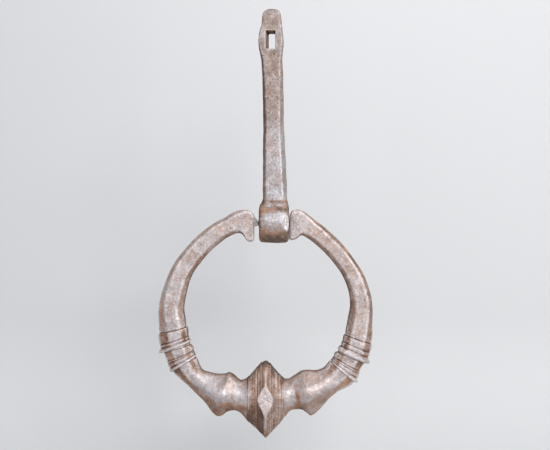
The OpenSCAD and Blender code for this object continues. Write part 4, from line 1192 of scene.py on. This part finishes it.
def shank_tone(pos, facing):
    """What to add to the shank's wear and rust, place by place, painted highlights and painted light
    and shade among it.
    """
    x, y, z = pos.T
    side = facing[:, 0]
    height = z - PIVOT_Z
    eye = smooth(3.0, -1.0, z)
    # a darker band where the shank meets the eye: painted shade in the junction, with blotchy patina
    band = smooth(2.0, 0.2, z) * smooth(-8.0, -6.0, z)
    blotch = fbm(pos, (3.0, 2.5, 2.0), 3, seed=227)
    # a painted highlight across the eye's barrel, a little above its axis
    painted_eye_highlight = bump(height, 3.2, 4.2) * smooth(9.5, 7.0, np.abs(x - 0.6))
    # the eye's lower half is painted darker and rustier: painted shade with rust
    low = smooth(-1.5, -5.0, height) * eye
    deep = smooth(-7.0, -12.0, height) * eye
    streak = (fbm(pos, (9.0, 5.0, 0.7), 2, seed=221)
              + 0.6 * fbm(pos, (4.0, 3.0, 1.4), 2, seed=223))
    in_slot = ((np.abs(x - SLOT_X) < 4.9) & (np.abs(z - SLOT_Z) < 6.5) & (np.abs(y) < 4.9)
               & (np.abs(facing[:, 1]) < 0.5))
    # a painted highlight on the bevel at the eye's right end
    bevel_highlight = (smooth(0.28, 0.36, side) * smooth(0.56, 0.48, side)
             * smooth(-0.8, -0.88, facing[:, 1]) * eye)
    front_left = smooth(-3.5, -8.0, x) * eye * (facing[:, 1] < 0)
    wear_and_painted_light = eye * (0.16 * painted_eye_highlight - 0.06 + 0.30 * streak * smooth(-7.0, -2.0, height))
    wear_and_painted_light = wear_and_painted_light - band * (0.13 + 0.35 * blotch) - 0.15 * low + 0.10 * deep
    # on the shank, right-facing sides are painted paler and left-facing ones darker: painted light
    # from the right
    wear_and_painted_light = wear_and_painted_light + (1 - eye) * (0.34 * smooth(0.2, 0.8, side) - 0.06 * smooth(0.2, 0.8, -side)
                               - 0.10 * smooth(25, 60, z) - 0.10 * smooth(70, 95, z))
    wear_and_painted_light = wear_and_painted_light + 0.02 * smooth(55, 30, z) * smooth(2, 8, z)
    wear_and_painted_light = wear_and_painted_light + 0.5 * bevel_highlight + 0.10 * in_slot - 0.10 * front_left
    rust = (0.05 * band + 0.26 * low + 0.26 * front_left + 1.3 * in_slot
            - 0.22 * painted_eye_highlight * eye - 0.10 * (1 - eye))
    return wear_and_painted_light, rust


def corner_highlight(pos):
    """The painted highlight line down the shank's right corners, front and back."""
    z = pos[:, 2]
    _, right, thick, chamfer, _ = curve(SHANK_ROWS, z).T
    distance = np.hypot(pos[:, 0] - (shank_x(z) + right - chamfer), np.abs(pos[:, 1]) - thick)
    noise = fbm(pos, 9.0, 2, seed=241) + 0.5 * fbm(pos, 2.2, 2, seed=243)
    fading = 0.35 + 0.65 * smooth(75, 45, z)
    return bump(distance, 0, 0.75) * smooth(3, 8, z) * fading * smooth(-0.5, 0.2, noise) * 0.95


def build_shank():
    mesh = shank_solid()
    soften(mesh)
    surf = Surface(mesh)
    pos = surf.pos
    x, y, z = pos.T
    off_bore = smooth(3.6, 5.0, axis_distance(pos))
    in_slot = (np.abs(x - SLOT_X) < 4.8) & (np.abs(z - SLOT_Z) < 6.6) & (np.abs(y) < 5.0)
    dirt = 1.0 - 0.5 * smooth(4.0, 1.0, z) * off_bore
    grain = fbm(pos, (0.8, 6.0, 6.0), 2, seed=55) * 0.05 * smooth(3.0, -4.0, z)
    # the seam behind, where the eye meets the shank
    seam = bump(z + 1.2 + 0.6 * fbm(pos, 6.0, 2, seed=57), 0, 0.45) * smooth(3.0, 6.0, y) * 0.9
    surf.forge(off_bore * np.where(in_slot, 0.4, 1.0), seed=20, extra=grain - seam, pit=1.5)

    pos = surf.pos
    x, y, z = pos.T
    height = z - PIVOT_Z
    wear_and_painted_light, rust = shank_tone(pos, surf.facing)
    over = over_bevel(pos)
    # a painted highlight line on the bevel at the eye's right end
    patch = smooth(5.8, 6.8, x) * smooth(9.5, 8.0, np.abs(height)) * (y < -5)
    bevel_highlight_line = smooth(-0.40, -0.18, over) * patch * (1.25 + 0.4 * fbm(pos, 2.0, 2, seed=245))
    eye = smooth(3.0, -1.0, z)
    eye_gloss = 0.75 * bump(height, 2.5, 5.0) + 0.1 + smooth(-0.35, -0.18, over) * patch
    facing_y = np.abs(surf.facing[:, 1])
    surf.store_looks(
        front=0.36 * smooth(0.25, 0.76, facing_y) + 0.64 * smooth(0.80, 0.965, facing_y),
        wear_and_painted_light=wear_and_painted_light, rust=rust, line=corner_highlight(pos) + bevel_highlight_line, dirt=dirt,
        gloss=np.clip(eye * eye_gloss + (1 - eye) * 0.45 * smooth(48, 34, z), 0, 1))
    add_piece(mesh, "shank_body", "shank", IRON_SHANK)


build_shank()


# ------------------------------------------------------------------ stage, in metres
FLOOR_Z, WALL_Y, COVE_R = -0.225, 0.19, 0.12
STAGE_HALF_X = 2.2
AIM = (0, 0, -0.03)


def stage_material():
    """Pale matt paint, clear when seen from behind."""
    net = Graph("stage_pale")
    facing = net.node("ShaderNodeNewGeometry")
    paint = net.node("ShaderNodeBsdfDiffuse")
    paint.inputs["Color"].default_value = (0.56, 0.565, 0.575, 1)
    clear = net.node("ShaderNodeBsdfTransparent")
    blend = net.node("ShaderNodeMixShader")
    sources = (facing.outputs["Backfacing"], paint.outputs[0], clear.outputs[0])
    for socket, source in zip(blend.inputs, sources):
        net.put(socket, source)
    output = net.node("ShaderNodeOutputMaterial")
    net.put(output.inputs["Surface"], blend.outputs[0])
    return net.material


def build_cove():
    """A floor that curves up into a wall behind."""
    profile = [(-2.0, FLOOR_Z), (-0.6, FLOOR_Z)]
    profile += [(WALL_Y - COVE_R + COVE_R * math.sin(angle),
                 FLOOR_Z + COVE_R - COVE_R * math.cos(angle))
                for angle in np.linspace(0, math.pi / 2, 25)]
    profile += [(WALL_Y, 0.6), (WALL_Y, 1.8)]
    verts = [(x, y, z) for y, z in profile for x in (-STAGE_HALF_X, STAGE_HALF_X)]
    faces = [(2 * i, 2 * i + 1, 2 * i + 3, 2 * i + 2) for i in range(len(profile) - 1)]
    mesh = bpy.data.meshes.new("stage_cove")
    mesh.from_pydata(verts, [], faces)
    shade_smooth(mesh)
    mesh.materials.append(stage_material())
    cove = bpy.data.objects.new("stage_cove", mesh)
    bpy.context.scene.collection.objects.link(cove)


def area(name, place, size, power, color=(1, 1, 1), aim=AIM):
    light = bpy.data.lights.new(name, "AREA")
    light.energy = power
    light.shape = "RECTANGLE"
    light.size, light.size_y = size
    light.color = color
    ob = bpy.data.objects.new(name, light)
    bpy.context.scene.collection.objects.link(ob)
    ob.location = place
    ob.rotation_euler = (Vector(aim) - Vector(place)).to_track_quat("-Z", "Y").to_euler()


build_cove()
area("key", (0.45, -0.92, 0.56), size=(0.7, 0.55), power=10.3, color=(1.0, 0.99, 0.985))
area("fill_left", (-0.8, -0.7, 0.1), size=(0.7, 0.7), power=2.4, color=(0.95, 0.97, 1.0))
area("front_soft", (0.1, -1.2, 0.25), size=(1.0, 0.7), power=3.45, color=(1.0, 0.99, 0.99))
area("low_right", (0.75, -0.75, -0.16), size=(0.45, 0.35), power=3.0, color=(1.0, 0.985, 0.97),
     aim=(0, 0, -0.08))
area("rim_top", (0.1, 0.0, 0.75), size=(0.5, 0.3), power=2.2)

scene = bpy.context.scene
world = bpy.data.worlds.new("world")
scene.world = world
world.use_nodes = True
sky = world.node_tree.nodes["Background"]
sky.inputs["Color"].default_value = (0.92, 0.95, 1.0, 1)
sky.inputs["Strength"].default_value = 0.30

lens = bpy.data.cameras.new("cam")
lens.sensor_width = 36
lens.sensor_fit = "HORIZONTAL"
lens.lens = 44.2
camera = bpy.data.objects.new("cam", lens)
scene.collection.objects.link(camera)
camera.location = (0.00069, -0.470, -0.015925)
camera.rotation_euler = (math.radians(90), 0, 0)
scene.camera = camera
scene.view_settings.view_transform = "Standard"
